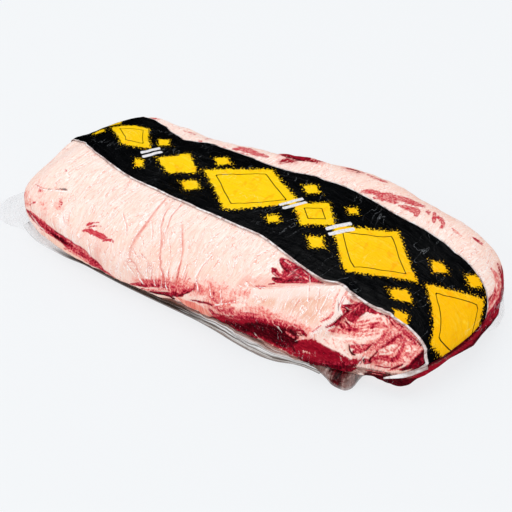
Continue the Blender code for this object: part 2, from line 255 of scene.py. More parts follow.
# Dark lean and dark spots; low on the flank and under the muscle their darkness is partly painted shade
DEEP = (
    # the flank
    ((224, 322.6, 1.6), (233, 325, 2.2), (243, 327.4, 4), (252, 328.4, 5.8), (262, 330.4, 7),
     (274, 333.4, 7.4), (284, 337, 8), (292, 340, 6)),
    ((266, 338, 2), (276, 342, 2.5), (285, 346, 2.5)),
    ((290, 331, 2.5), (295, 333, 2.5)),
    # under the muscle
    ((298, 358.5, 1), (306, 361.5, 1.4), (316, 364, 1.6), (326, 366, 1.8), (336, 367, 1.8),
     (346, 366.8, 1.8), (354, 366, 1.4)),
    ((487, 310, 2.5), (486, 317, 3)),
    BACK_FOLD,
    ((355.5, 169.6, 0.5), (359, 170.8, 0.5)),
    # dark dots along a faint line at the left end
    ((42, 188, 0.9),) * 2,
    ((49.5, 189, 0.7), (50.5, 189, 0.5)),
    ((56.5, 189.4, 0.5), (57.5, 189.4, 0.5)),
    ((60.3, 188.6, 0.8), (63.5, 189.2, 0.8), (66, 190.3, 0.4)),
)
BLUSH = (
    # round the crevice
    ((186, 284, 4), (192, 288, 5), (205, 291, 5), (216, 295, 6), (228, 300, 5), (240, 304, 3)),
    ((206, 282, 3), (216, 287, 4), (226, 292, 4), (238, 294, 3), (246, 293, 2)),
    ((204, 303, 3), (215, 307, 6), (228, 309, 5), (240, 310, 2)),
    ((136, 280, 1), (145, 281, 2), (155, 281, 2), (163, 280, 2), (173, 282, 3), (182, 283, 3)),
    # over the flank
    ((250, 311, 1), (262, 312.5, 1.2), (276, 315, 1.5), (290, 319, 2), (300, 324, 2), (308, 330, 2)),
    # the lobe
    ((343, 322, 4), (352, 325, 6), (362, 326, 7), (374, 327, 8), (386, 328, 8)),
    ((350, 333, 3), (364, 333, 4), (378, 336, 6), (390, 338, 7), (402, 341, 8), (413, 345, 7)),
    ((372, 345, 5), (380, 353, 6), (390, 356, 6), (402, 354, 7), (412, 352, 6), (418, 348, 4)),
    ((366, 356, 3), (374, 361, 4), (386, 363, 3), (398, 361, 3)),
    ((388, 318, 3), (392, 323, 4), (398, 328, 6), (406, 333, 6), (413, 339, 5), (417, 345, 3)),
    # the left end
    ((24, 194, 2), (24, 202, 2), (29, 204, 2)),
    ((43, 204, 0.6), (43, 214, 0.6)),
    ((60, 200, 1), (59, 206, 1)),
    ((40, 188, 0.6), (40, 196, 0.4)),
)
PALE = (
    RIDGE,
    ((318, 337, 4), (327, 341, 5), (336, 344, 5), (343, 349, 4)),
    ((336, 338, 4), (350, 338.5, 3.5), (362, 338.5, 2.5), (372, 338, 1.6)),
)
PEACH = (
    ((45, 235, 2), (55, 242, 4), (66, 250, 5), (78, 257, 4), (86, 262, 2.5)),
    ((100, 276, 2), (112, 282, 3), (124, 285, 3)),
)
SALMON = (
    ((175.5, 299, 1), (183, 302, 2.8), (191, 305.8, 4), (198.5, 309.6, 4.6), (205.5, 314.3, 3.8),
     (211.5, 319.5, 1.5)),
)
TINT = (
    ((262, 297, 4), (285, 300, 8), (305, 301, 9), (322, 297, 7), (334, 292, 4)),
    ((300, 315, 4), (314, 314, 5), (324, 308, 4)),
)
TAN = (
    ((300, 363.5, 1.2), (308, 366, 1.5), (318, 369, 1.8), (330, 370, 1.6), (342, 370.5, 1.2)),
    ((322, 371, 1.4), (334, 372.6, 1.8), (346, 373.4, 2), (356, 372.4, 2.2)),
    ((355, 366.5, 1), (360, 370, 3), (368, 372, 3.4), (378, 373.4, 3), (388, 374.8, 2.4), (396, 375.5, 1.6)),
    ((384, 378, 0.3), (398, 381.4, 0.5), (412, 377.4, 0.5), (430, 366.6, 0.5), (452, 353.4, 0.5),
     (470, 341.6, 0.5), (484, 327, 0.4)),
    ((224, 331, 0.7), (236, 333.5, 1), (247, 335.5, 1.2), (258, 340, 1.3), (268, 345, 1.5),
     (280, 351, 1.5), (292, 357, 1.5), (300, 361.5, 1.2)),
)
# Thin lines, mostly along the creases: drawn darker there as painted shade, with a painted highlight along
# one lip
LINES = (
    CREASE_1,
    CREASE_2,
    CREASE_3,
    CREASE_4,
    CREASE_5,
    CREASE_6,
    CREASE_7,
    PANEL_CREASE,
    ((131.5, 246, 0.5), (135, 253, 0.5), (138, 258, 0.4)),
    ((139, 232, 0.3), (143, 240, 0.4), (144, 247, 0.3)),
    ((152, 222, 0.3), (153, 232, 0.4), (152, 240, 0.3)),
    ((169, 238, 0.3), (170.5, 248, 0.4), (170, 256, 0.3)),
    ((172, 258, 0.3), (169, 268, 0.4), (168, 276, 0.5)),
    ((188, 262, 0.3), (185, 272, 0.4), (182, 280, 0.4)),
    ((126, 262, 0.3), (130, 268, 0.4), (135, 275, 0.4)),
    ((151, 262, 0.3), (152, 270, 0.4), (151, 279, 0.5)),
    ((212, 256, 0.3), (203, 266, 0.4), (196, 278, 0.5)),
    ((36, 184.5, 0.3), (42, 188, 0.4), (49.7, 188.8, 0.4), (57.4, 189, 0.4), (66, 190.2, 0.3)),
    ((62.5, 208, 0.3), (63.5, 217, 0.5), (65, 225, 0.3)),
    ((69.5, 212, 0.3), (68, 223, 0.4)),
    ((246.5, 280.7, 0.4), (251, 284, 0.5), (256, 288, 0.4)),
    ((309.6, 285, 0.4), (309, 299.7, 0.5)),
    ((320, 289, 0.4), (318.5, 300, 0.4)),
    ((330, 292, 0.4), (326, 302, 0.4), (320, 312, 0.4)),
    ((299, 300, 0.3), (294, 308, 0.4), (291, 315, 0.3)),
    ((345, 298, 0.3), (342, 304, 0.4), (341, 309, 0.5)),
    ((139.5, 277, 0.4), (143.4, 282.7, 0.6)),
    ((154.8, 278.6, 0.4), (155.6, 284.2, 0.6)),
    ((165.6, 281, 0.4), (167.1, 287.3, 0.6)),
    ((197, 279, 0.4), (199, 290, 0.5)),
    ((210, 284, 0.4), (212, 296, 0.5)),
    ((221, 290, 0.4), (222, 303, 0.5)),
    ((216, 304, 0.5), (224.5, 302.9, 0.5), (232, 301, 0.4), (240, 298.5, 0.3)),
)
DARK_LINES = (
    ((190.8, 300.3, 0.5), (198.5, 301.6, 0.7), (208.4, 303.7, 0.6), (211.5, 306.2, 0.6)),
    ((194.8, 284, 0.4), (194.3, 288, 0.6), (193.3, 291, 0.5)),
    ((338.2, 301, 0.3), (338.3, 306, 0.4), (338.5, 310.5, 0.3)),
)
# Painted highlights: thin pale lines where the film's wrinkles and the fat's ridge catch the light
GLEAM = (
    ((343.6, 290, 0.4), (338.5, 298, 0.6), (336.4, 307, 0.8), (336, 313, 0.8), (333, 318.2, 0.8),
     (327, 322.7, 0.8), (319, 328.6, 0.6), (311, 333.2, 0.4)),
    ((388.5, 317, 0.4), (388.8, 322, 0.4), (389.3, 327.2, 0.6)),
    ((274.4, 325.2, 0.2), (278, 327.5, 0.35), (280.8, 331.4, 0.25)),
    ((255, 334.5, 0.2), (258, 338, 0.3)),
    ((195.8, 289, 0.4), (195.7, 296, 0.5)),
    ((181, 298.7, 0.4), (191, 300.9, 0.5), (198.5, 304.1, 0.5), (206, 305.5, 0.4)),
    ((174, 297.4, 0.4), (182.4, 305.1, 0.5), (193.9, 313.5, 0.5), (205.3, 319.4, 0.5), (215.3, 325, 0.4)),
    ((357, 367, 0.4), (361, 360.5, 0.5), (366, 355.5, 0.4)),
    ((358.5, 344.5, 0.4), (363, 346.5, 0.4)),
    ((340.2, 357.5, 0.4), (341.8, 360.5, 0.5)),
    ((296, 341, 0.3), (302, 338.6, 0.6)),
    ((284.7, 260.8, 0.4), (291, 264.8, 0.5)),
    ((288.7, 275.1, 0.4), (294, 271, 0.4), (299.1, 267.9, 0.4)),
    ((303.5, 271, 0.4), (307.1, 274.3, 0.5)),
    ((295.9, 272.7, 0.3), (300.7, 275.9, 0.4)),
    ((309.5, 276, 0.4), (310.2, 281.5, 0.5)),
    ((273.6, 272.7, 0.3), (276.8, 275.1, 0.4)),
    ((272, 284.6, 0.5), (290, 284.2, 0.6), (308, 283.8, 0.6), (322, 283, 0.4)),
    ((249, 281, 0.3), (254, 285.5, 0.5), (259, 290, 0.4)),
    ((30, 214, 0.3), (36, 222, 0.5), (44, 232, 0.5), (48, 240, 0.4)),
    ((141, 238, 0.3), (137, 246, 0.4), (139, 254, 0.4), (145, 262, 0.4), (148.5, 272, 0.3)),
    ((164, 232, 0.3), (163.5, 244, 0.4), (163, 256, 0.5), (162.5, 268, 0.4)),
    ((184.5, 236, 0.3), (185, 250, 0.5), (183.5, 262, 0.5), (180.5, 274, 0.4)),
    ((132, 244, 0.3), (131, 254, 0.4), (135, 263, 0.4), (139, 272, 0.4)),
    ((156, 262, 0.3), (157.5, 272, 0.4), (157, 281, 0.4)),
    ((164.5, 272, 0.3), (165.5, 280, 0.4)),
    ((174, 262, 0.3), (172, 272, 0.4), (171, 281, 0.4)),
)

# Touches laid over all that in order: how red each is, from 0, pale fat, to 1, nearly black, and its stroke
TOUCHES = (
    # the long seam at the left
    (0.72, ((24.5, 208.5, 0.6), (29, 213, 1.6), (34, 218.5, 2.6), (41, 224, 3.2), (49, 230, 3.2),
            (57, 236, 3.4), (64, 240.5, 3.8), (72, 246.5, 4), (80, 251.5, 4), (86, 257, 3.8),
            (92, 262, 3), (99, 268, 1.8), (106, 273, 1.2), (115, 279, 0.7))),
    (0.68, ((68, 245, 2.6), (77, 250.4, 3.8), (86, 257.2, 4), (94, 264, 2.8), (101, 269, 1.4))),
    (0.5, ((68, 241.4, 0.8), (75, 245.8, 1), (83, 251.4, 1), (90, 257, 0.8))),
    (0.62, ((40, 229, 0.6), (47, 233, 0.9), (52, 236, 0.7))),
    (0.82, ((46, 228, 1), (52, 233, 1.5), (58, 237, 2), (64, 241.5, 2.2), (71, 246, 1.2))),
    (0.35, ((47, 226.4, 0.4), (50, 229.6, 0.5))),
    (0.3, ((57, 234.4, 0.4), (60.4, 237, 0.4))),
    (0.6, ((106, 272.6, 0.5), (109.6, 275.4, 0.6))),
    (0.6, ((112.6, 277.6, 0.5), (117, 280.6, 0.5))),
    (0.97, ((50, 233, 0.6), (55, 236, 1.2), (60, 239, 1.6), (64, 242, 1.4), (67, 244, 0.7))),
    (0.4, ((64, 248, 0.8), (72, 252.5, 1), (80, 257, 1.1), (88, 262.5, 0.9))),
    (0.42, ((30, 211, 0.5), (37, 217, 0.7), (44, 222.5, 0.6))),
    # the crevice at the front
    (0.56, ((180.4, 262, 0.3), (178.6, 270, 0.5), (176.6, 278, 0.7), (175, 285, 0.9))),
    (0.5, ((160, 268, 0.3), (162.2, 274, 0.5), (162.6, 282, 0.7), (162.8, 287, 0.9))),
    (0.4, ((150.6, 276, 0.4), (151.4, 283, 0.7))),
    (0.4, ((187, 272, 0.4), (184.6, 280, 0.7), (183.4, 286, 0.7))),
    (0.36, ((168.6, 272, 0.3), (169, 280, 0.6), (169.6, 286, 0.6))),
    (0.62, ((130, 284.5, 0.8), (137, 284.5, 2), (145, 284.5, 2.6), (155, 285, 2.6), (164, 286.5, 2.8),
            (172, 290, 3.2), (180, 292, 3.4), (188, 291, 2.2), (193, 289, 1))),
    (0.5, ((140, 281, 1.2), (150, 281.2, 1.6), (160, 281.6, 1.8), (170, 284, 2.2), (178, 287, 2),
           (186, 287.6, 1.6))),
    (0.76, ((138.8, 285.7, 0.8), (144, 286.4, 1.5), (150, 285.8, 1.5), (157, 285.9, 1.1),
            (163.5, 286.3, 1.2), (167, 288, 0.8))),
    (0.34, ((147.4, 283, 0.4), (148.4, 288, 0.6))),
    (0.34, ((153.8, 282.6, 0.4), (154.6, 287.6, 0.5))),
    (0.3, ((159.8, 282.6, 0.4), (160.2, 288, 0.5))),
    (0.34, ((169.2, 285.6, 0.5), (170.2, 292, 0.6))),
    (0.36, ((176.4, 288, 0.5), (178.2, 294, 0.5))),
    (0.4, ((184.6, 286, 0.5), (186, 290.4, 0.5))),
    (0.42, ((141, 289, 0.6), (146, 290.1, 0.9), (152, 290.2, 1), (160, 290, 1), (167, 289.8, 0.8))),
    (0.2, ((152, 289.5, 0.5), (157, 290, 0.5))),
    (0.25, ((162, 289.2, 0.5), (166, 289.6, 0.5))),
    (0.86, ((129.6, 288.6, 0.8), (134, 289.6, 1.2), (139, 290.4, 0.9))),
    (0.98, ((126.5, 286.8, 0.4), (132.7, 288.5, 0.5), (138, 289.5, 0.6), (142, 290.2, 0.6))),
    (0.8, ((150, 291.8, 0.6), (157, 292.6, 1), (164, 293.6, 1.4), (170, 294.6, 2), (176, 295.8, 2.2),
           (182, 295.5, 1.6))),
    (0.96, ((146.4, 291.9, 0.4), (155.6, 293.6, 0.6), (163.3, 295.2, 0.7), (170.5, 297.4, 0.9),
            (174, 299.2, 0.8))),
    (0.97, ((178, 296.4, 0.6), (181, 295.4, 0.7), (185, 293.6, 0.6), (190, 291.7, 0.5))),
    (0.9, ((182.5, 290, 0.6), (186, 291.4, 0.7))),
    (0.88, ((173, 292.5, 0.7), (176, 294, 0.9))),
    (0.75, ((197.6, 291.4, 0.6), (199, 292, 0.6))),
    (0.72, ((213.6, 292.2, 0.9), (214, 295, 0.9))),
    (0.55, ((211, 298, 1), (214, 300, 1.6), (217, 303, 1.4))),
    (0.5, ((188, 279, 0.6), (190, 278.6, 0.6))),
    (0.5, ((196, 280, 0.6), (196.6, 284, 0.6))),
    (0.7, ((190.5, 300.4, 0.7), (198.5, 301.6, 1.1), (206, 303, 1), (211.5, 305.6, 1))),
    (0.66, ((209, 310, 1), (211, 312, 1.5), (214, 315.5, 1.5), (218, 316.5, 1))),
    (0.56, ((216, 308, 2), (222, 311, 2.5), (228, 311, 2.5), (233, 308.5, 1.6))),
    (0.8, ((229, 310.5, 0.8), (231, 313.5, 0.9))),
    (0.74, ((220, 312, 0.8), (222.5, 311, 0.6))),
    (0.25, ((218, 308.5, 0.6), (221, 309.5, 0.6))),
    (0.25, ((224, 314, 0.6), (228, 315.4, 0.6))),
    (0.1, ((232, 305, 1.4), (238, 305.5, 2), (244, 305, 1.6))),
    # over the flank
    (0.5, ((222, 313.4, 1.6), (232, 313.2, 2), (242, 314, 2.2), (252, 315, 2.2), (262, 317, 2.2),
           (272, 319.4, 2.2), (282, 321.8, 2), (290, 324.4, 1.6))),
    (0.72, ((234, 316.8, 1), (246, 317.6, 1.4), (256, 318.8, 1.4), (266, 320.8, 1.4), (276, 323, 1.4),
            (286, 326, 1.2))),
    (0.58, ((224, 317.4, 0.4), (232, 318.4, 0.5), (241, 319.4, 0.4))),
    (0.32, ((235, 312, 0.4), (236.5, 314.5, 0.4))),
    (0.34, ((265.6, 316.8, 0.4), (268.4, 322, 0.5))),
    (0.34, ((270.6, 318.6, 0.4), (274, 325, 0.4))),
    (0.4, ((277, 318.4, 0.4), (278.4, 325.6, 0.4))),
    (0.3, ((284.2, 318, 0.4), (282, 325.4, 0.4))),
    (0.36, ((288, 320, 0.4), (284, 326.6, 0.4))),
    (0.42, ((292, 323, 0.4), (286, 328, 0.4))),
    (0.5, ((294, 324.5, 1), (297.5, 326.5, 1.8), (301.5, 328.5, 1.2))),
    (0.4, ((297, 332, 0.6), (300.5, 332.6, 0.6))),
    (0.84, ((300, 330, 0.8), (303.6, 332.6, 1), (303, 335, 0.7))),
    (0.9, ((294.5, 335.8, 0.5), (299, 335.6, 0.6), (304.7, 335, 0.5))),
    (0.4, ((296.5, 340, 0.6), (300, 339, 0.8), (304, 337.6, 0.5))),
    # dark low on the flank, partly painted shade
    (0.84, ((217, 322.5, 1), (227.3, 327, 1.8), (237, 330.5, 1.6), (246, 334, 1.4), (256, 338, 1.2))),
    (0.62, ((286, 332, 0.8), (290, 335, 1.2), (294, 337.6, 0.8))),
    (0.93, ((280, 341, 1.4), (286, 344.4, 2), (291, 346.6, 1.4))),
    (0.95, ((291, 343, 0.8), (292.6, 348, 0.9), (294, 352, 0.8))),
    # the triangle by the band
    (0.73, ((272.6, 268.4, 1.6), (274.5, 271, 3.4), (277, 274, 2.6))),
    (0.73, ((282, 260, 3), (286, 264, 5.5), (290, 268, 7), (290, 272, 7), (284, 276, 5))),
    (0.75, ((294, 269, 5), (300, 272, 5.4), (305, 275.5, 5), (310, 278, 3.6), (316, 280, 2),
            (323, 281.9, 0.7))),
    (0.75, ((273, 278.5, 1.6), (277, 280, 2.4), (284, 279.6, 3), (296, 279.8, 2.6), (306, 280.5, 2))),
    (0.7, ((268, 283.2, 0.5), (274, 282.6, 0.9))),
    (0.9, ((272.8, 277.3, 0.9), (277, 278.2, 1.3), (281, 279, 1))),
    (0.9, ((287, 280.4, 0.7), (294, 279.4, 1), (301, 279.2, 0.8))),
    (0.9, ((280, 262.5, 0.6), (283, 267, 1), (287, 270, 0.8))),
    (0.88, ((295, 266.5, 0.7), (298.5, 269, 0.8))),
    (0.15, ((277.6, 266.6, 0.9), (279.5, 270.5, 1.1), (281.4, 273, 0.7))),
    (0.4, ((286, 260.5, 0.6), (290.5, 263.4, 0.6))),
    (0.5, ((290.5, 266, 0.5), (294, 265, 0.5))),
    (0.45, ((304, 276.6, 0.7), (307.5, 278.4, 0.7))),
    (0.5, ((280, 275.5, 0.5), (284, 277.6, 0.6))),
    (0.6, ((255.5, 285.3, 0.9), (260, 286.6, 1.5), (264.4, 285.8, 1))),
    (0.4, ((258.6, 288.6, 0.7), (261, 289.6, 0.6))),
    # past the fat ridge
    (0.22, ((340, 290, 0.8), (335.6, 298, 1.4), (333.8, 306, 1.8), (333, 312, 1.6), (329, 317, 1))),
    (0.36, ((347, 292, 1.2), (343.6, 297.4, 1.4), (341, 303, 1))),
    (0.64, ((340.4, 304.6, 1.2), (343, 308.6, 2), (343.4, 312.6, 1.4))),
    (0.82, ((341.5, 305.8, 1), (348, 306, 1.8), (354, 306.4, 3), (361, 305, 3.4), (368, 309, 3),
            (376, 312.6, 1.8), (383, 314, 1))),
    (0.84, ((346.5, 310, 1.4), (351, 313, 3.4), (356, 314, 4.6), (362, 311, 3.6))),
    (0.76, ((346.5, 313.5, 1.4), (350.5, 318.5, 3), (354, 320.5, 2.6), (357, 317, 2))),
    (0.76, ((325.5, 327.5, 0.8), (331, 325.4, 1.4), (337, 322, 2), (341.5, 318, 2), (346, 315, 2))),
    (0.82, ((385, 314.6, 0.8), (389, 317.4, 1.6), (393, 320.6, 1.2))),
    (0.94, ((342.4, 306.6, 0.5), (346, 309, 0.7), (348.5, 311, 0.7))),
    (0.93, ((341.4, 315.4, 0.6), (338, 319.6, 0.9), (334, 323.4, 0.7))),
    (0.9, ((358, 309, 0.7), (361, 306.4, 0.9))),
    (0.62, ((350, 308.4, 0.6), (354.4, 305.4, 0.5))),
    (0.35, ((339.2, 305, 0.5), (340, 309.5, 0.6))),
    (0.45, ((341.5, 308.6, 0.6), (346, 310, 0.5))),
    (0.45, ((348, 299, 1.4), (352, 300.8, 1.6), (357, 302.4, 1.2))),
    (0.3, ((345, 296, 1.5), (350, 297.5, 1.2))),
    (0.52, ((361.6, 302.8, 0.5), (355, 308.6, 0.6), (349, 313.6, 0.7), (345, 317, 0.6))),
    (0.55, ((359.6, 306, 0.4), (359, 311, 0.4))),
    (0.58, ((363.4, 306.4, 0.4), (362.8, 312, 0.4))),
    (0.5, ((366.4, 305.6, 0.4), (366, 311.6, 0.5))),
    (0.6, ((369.8, 309, 0.4), (369.6, 313, 0.4))),
    (0.4, ((340.4, 303.4, 0.4), (343.6, 307, 0.4))),
    (0.25, ((339.6, 307, 0.4), (342.6, 311, 0.4))),
    (0.5, ((330, 316.5, 1), (332.6, 313.6, 1.2), (329.6, 317.6, 1.3), (325, 319.6, 1.2),
           (320.5, 321.6, 0.8))),
    (0.5, ((322, 325.6, 0.8), (317, 328.6, 1), (312, 332, 0.8))),
    # the mottled hollow by it
    (0.46, ((329, 330.6, 1.2), (334, 330, 2.4), (340, 330.6, 3.2), (346, 331, 3), (353, 332, 1.6))),
    (0.64, ((336, 325.6, 1.2), (340, 324.4, 2.4), (345, 327, 3.2), (350, 328.6, 3.8), (356, 328.6, 2.8),
            (361, 328.4, 1.6))),
    (0.22, ((339, 326, 0.9), (341, 328, 0.8))),
    (0.25, ((344, 331.2, 1), (348, 332.6, 0.8))),
    (0.25, ((346, 323.6, 0.8), (346.6, 326.6, 0.8))),
    (0.3, ((351, 331.6, 0.7), (354.4, 333, 0.7))),
    (0.25, ((340.4, 332.6, 0.9), (342.4, 334, 0.8))),
    (0.35, ((351.6, 325.2, 0.6), (354, 326.6, 0.6))),
    (0.9, ((341.2, 324.6, 0.6), (343.2, 327.4, 0.6))),
    (0.84, ((346, 321.2, 0.9), (349, 324.4, 0.9))),
    (0.84, ((349, 329.4, 0.8), (352.6, 330, 0.8))),
    (0.7, ((331.4, 331.6, 0.8), (334.4, 332.4, 0.6))),
    # the pale fan in the lobe
    (0.5, ((356, 322, 2.4), (364, 323, 4.5), (373, 322, 5.5), (382, 323, 4.5), (386, 328, 3))),
    (0.4, ((354, 333.6, 2.4), (364, 333, 3), (374, 332, 3.4), (382, 332, 2.6))),
    (0.1, ((358, 320.4, 1), (364, 318.6, 1.7), (370.5, 317.4, 2), (376.5, 315.6, 1.8), (378.6, 313.6, 0.9))),
    (0.1, ((381, 316.2, 0.9), (384.6, 319.6, 1.2), (386.6, 324, 1.2))),
    (0.12, ((357, 324.2, 0.8), (366, 322.4, 1), (375, 320.4, 1.1), (383, 320.8, 0.8))),
    (0.16, ((356, 327.4, 0.6), (364, 326.4, 0.8), (371, 325.6, 0.6))),
    (0.16, ((361, 330.1, 0.6), (370, 329.3, 0.8), (380, 328.9, 0.9), (386, 327.6, 0.8))),
    (0.14, ((357, 333.5, 0.6), (366, 332.9, 0.8), (376, 332.4, 0.9), (382, 331.6, 0.9))),
    (0.6, ((358, 322.4, 0.6), (363.6, 321.2, 0.7), (369, 320.6, 0.5))),
    (0.66, ((358.6, 326, 0.5), (365, 324.8, 0.7))),
    (0.8, ((370, 324.3, 0.7), (375, 323.2, 1), (379, 322, 0.7))),
    (0.76, ((368.4, 327.8, 0.6), (373, 327.4, 0.8), (378, 327, 0.5))),
    (0.58, ((356, 331.5, 0.5), (365, 331, 0.7), (374, 330.7, 0.5))),
    (0.5, ((352, 335.8, 0.5), (362, 335.4, 0.6), (371, 334.9, 0.5))),
    (0.5, ((379, 324.6, 0.8), (384, 325.6, 0.7))),
    (0.13, ((330, 337, 2), (338, 339.4, 3.4), (346, 340, 4), (356, 338.8, 3), (366, 338.2, 2.4),
            (374, 337.2, 2.2), (380, 335.4, 1.2))),
    (0.08, ((319, 338.4, 3), (326, 342, 4), (334, 345.6, 4.6), (342, 349, 3.8), (346, 353.4, 2.6),
            (351, 358, 1.4))),
    (0.34, ((333, 339, 0.5), (334, 344, 0.6), (336, 348.6, 0.5))),
    (0.3, ((345, 337, 0.5), (356, 336.4, 0.6), (367, 336, 0.5))),
    (0.28, ((324, 339.4, 0.5), (328, 343.4, 0.6))),
    (0.34, ((342, 342.6, 0.5), (348, 341.2, 0.6), (355, 341.4, 0.5))),
    (0.3, ((341, 346, 0.5), (344.6, 351, 0.6), (349, 356, 0.5))),
    (0.0, ((336, 337.6, 0.6), (344, 338.6, 0.8), (352, 338.4, 0.6))),
    # right of it, up to the band
    (0.66, ((390, 317.6, 1.2), (393, 322, 2.2), (398, 326, 2.6), (404, 331, 2.6), (409, 335.4, 2.2),
            (414, 340, 1.6))),
    (0.3, ((392.6, 328.6, 0.8), (396.4, 331.2, 1), (400, 331.6, 0.8))),
    (0.34, ((396, 325.4, 0.7), (400.4, 327.4, 0.9))),
    (0.3, ((391.6, 319.6, 0.5), (394.6, 323.6, 0.6))),
    (0.88, ((392, 323, 0.8), (393, 325, 0.8))),
    (0.86, ((399.6, 324.4, 0.7), (403.4, 327.8, 0.9))),
    (0.7, ((388.4, 329, 0.6), (385.6, 333.4, 0.8), (382, 337.4, 0.8), (378.6, 341, 0.6))),
    (0.56, ((391, 332.4, 1.2), (387.6, 336.4, 1.6), (382, 341, 1.6), (376, 345.6, 1.5), (371, 349.4, 1.2))),
    (0.68, ((374, 342.6, 0.6), (370, 346, 0.8), (366.6, 349, 0.6))),
    (0.66, ((384, 335.6, 0.6), (379, 340.4, 0.6), (374, 344.6, 0.5))),
    # the fold across the lobe
    (0.7, ((403, 331.6, 1), (397, 336, 1.2), (389.6, 340.6, 1.3), (383, 345.4, 1.2), (376.6, 350, 1.1))),
    (0.42, ((405, 328.7, 0.8), (398.6, 333, 0.9), (391.4, 337.8, 0.9), (384.6, 342.6, 0.9),
            (377.6, 347.8, 0.9), (371, 352.6, 0.8))),
    (0.74, ((388, 338.4, 0.5), (382, 342.8, 0.6), (375.6, 347.4, 0.5))),
    (0.82, ((401, 333.4, 0.3), (394.6, 338, 0.5), (389, 342.2, 0.6), (383, 347, 0.7), (377.4, 352, 0.8),
            (373, 356.5, 0.8), (370.6, 359.6, 0.7))),
    (0.34, ((396, 331.4, 0.4), (388, 337.6, 0.4), (380, 344, 0.5), (372, 349.6, 0.5))),
    # the lobe's round end
    (0.56, ((404, 337, 2), (398, 343, 3), (391, 349, 4.6), (384, 354, 4.4), (378, 358, 3), (374, 361, 2))),
    (0.5, ((408, 341, 4), (413, 346, 5), (411, 353, 4.6), (405, 358, 4), (397, 361, 3.6),
           (388, 362.5, 3.2), (379, 362, 2.4))),
    (0.7, ((404.6, 334.4, 1.6), (400, 336.8, 2), (395, 340.6, 2), (389.6, 343.8, 1.6), (385, 347, 0.9))),
    (0.3, ((402, 334, 0.5), (405.4, 336.4, 0.5))),
    (0.32, ((396.4, 338.6, 0.5), (399.6, 339.6, 0.5))),
    (0.12, ((379.6, 351, 1.4), (386, 349.4, 2.4), (391.4, 347, 2.4), (396, 345.8, 1.6))),
    (0.4, ((384, 347.8, 0.6), (387.6, 350.6, 0.8))),
    (0.36, ((390, 344.8, 0.6), (393, 348.4, 0.8))),
    (0.14, ((380, 354, 0.9), (387, 354, 1.3), (392.4, 352, 1.2))),
    (0.42, ((394, 342.9, 0.8), (398.4, 342, 1))),
    (0.66, ((380.6, 357.6, 1.4), (386, 359.6, 2.4), (391, 360.2, 2.2))),
    (0.7, ((407.4, 338.4, 1.2), (404.6, 342.4, 1.6), (402.6, 347, 1.5), (399.6, 352.6, 1.8),
           (396.6, 357.6, 2.2), (393, 361.4, 1.8))),
    (0.5, ((398.6, 350, 0.8), (402, 352.4, 0.9))),
    (0.84, ((391.6, 358.6, 0.7), (392.6, 361, 0.8))),
    (0.84, ((396, 356.6, 0.6), (397.6, 359.6, 0.7))),
    (0.2, ((406.8, 345, 1.4), (410.4, 346.4, 2.6), (415, 347.6, 2.6), (418.6, 348.6, 1.6))),
    (0.04, ((406.4, 350.4, 1), (410, 350.8, 1.7), (413, 351.4, 1))),
    (0.5, ((410.4, 345, 0.6), (411.6, 348.4, 0.6))),
    (0.3, ((407, 338.6, 0.8), (411.4, 341.8, 0.9))),
    (0.8, ((408.6, 336.6, 0.8), (413, 341, 0.9), (416, 344, 0.7))),
    (0.86, ((414.6, 338, 0.6), (418, 341.6, 0.8), (421.4, 346, 0.9))),
    (0.3, ((417.4, 345.6, 0.8), (420.4, 349, 0.8))),
    (0.16, ((404.4, 357, 1.8), (406.4, 360, 2.4), (409, 359.6, 1.8))),
    (0.5, ((402.6, 356, 0.5), (402.8, 360, 0.5), (405.6, 363, 0.5), (409.4, 362.6, 0.5))),
    (0.4, ((407.4, 354.4, 0.7), (412, 354.6, 0.7))),
    (0.44, ((411.6, 350, 0.5), (415, 352, 0.6))),
    (0.72, ((380.6, 356.4, 0.9), (385, 357.4, 1.1), (389.4, 356.6, 0.8))),
    (0.3, ((377.4, 361, 1), (384, 363, 1.5), (391, 364, 1.4), (396.4, 362.4, 0.8))),
    (0.78, ((373.6, 358.4, 1.2), (377.6, 359.8, 0.9))),
    (0.8, ((391, 359.6, 0.8), (394, 357.4, 0.8))),
    # the lobe's foot
    (0.8, ((375.6, 365.8, 0.6), (384, 367.6, 0.8), (390, 367.6, 0.7))),
    (0.4, ((386, 370, 0.6), (392, 370.6, 0.8), (400, 369.4, 0.7))),
    (0.86, ((391, 369.4, 0.9), (396.6, 367.4, 1.4), (402, 365, 1.1))),
    (0.38, ((391.6, 366.2, 0.5), (398.6, 363.8, 0.6), (404, 362.8, 0.5))),
    (0.86, ((400, 370.4, 1), (406, 368, 1.8), (412, 364.4, 2.8), (417, 360, 3.6), (421.4, 356, 3.6),
            (424, 351.4, 1.6))),
    (0.9, ((402, 371, 0.8), (410, 368, 1.6), (417, 365, 2), (423.6, 361.4, 2.4))),
    (0.3, ((421.6, 349.4, 0.5), (417.4, 354, 0.5), (412, 359.6, 0.5), (408, 365, 0.5))),
    (0.97, ((412, 364, 1), (416, 360.6, 1.8), (420.6, 356.4, 1.8), (423.4, 353, 0.9))),
    (0.74, ((362, 358.4, 1), (366, 360, 1.8), (370, 362, 2), (365, 363, 1.6))),
    (0.95, ((363, 358.4, 0.9), (364.4, 362, 1.1))),
    (0.93, ((370.6, 358, 0.8), (369.4, 361.4, 0.8))),
    (0.6, ((366, 370.4, 0.3), (376, 372, 0.4), (386, 373.4, 0.3))),
    (0.5, ((372, 374, 0.4), (382, 375.4, 0.4))),
    # under the muscle: nearly black lean, its darkness partly painted shade
    (0.8, ((318, 361.6, 1.4), (332, 363.6, 2.2), (345, 363.6, 2), (354, 362, 1.2))),
    (0.93, ((302, 362, 0.8), (312, 364.4, 1.2), (325, 366.4, 1.6), (338, 367.4, 1.8), (350, 367, 1.6),
            (356, 365, 1))),
    (0.88, ((334, 369.6, 1), (343, 370.6, 1.6), (351, 370, 2), (356, 368.4, 1))),
    # the right side
    (0.4, ((491, 268, 0.8), (496, 274, 2), (498.6, 282, 3), (499, 290, 3.4), (496, 299, 4), (491, 307, 4),
           (487, 314, 2.6))),
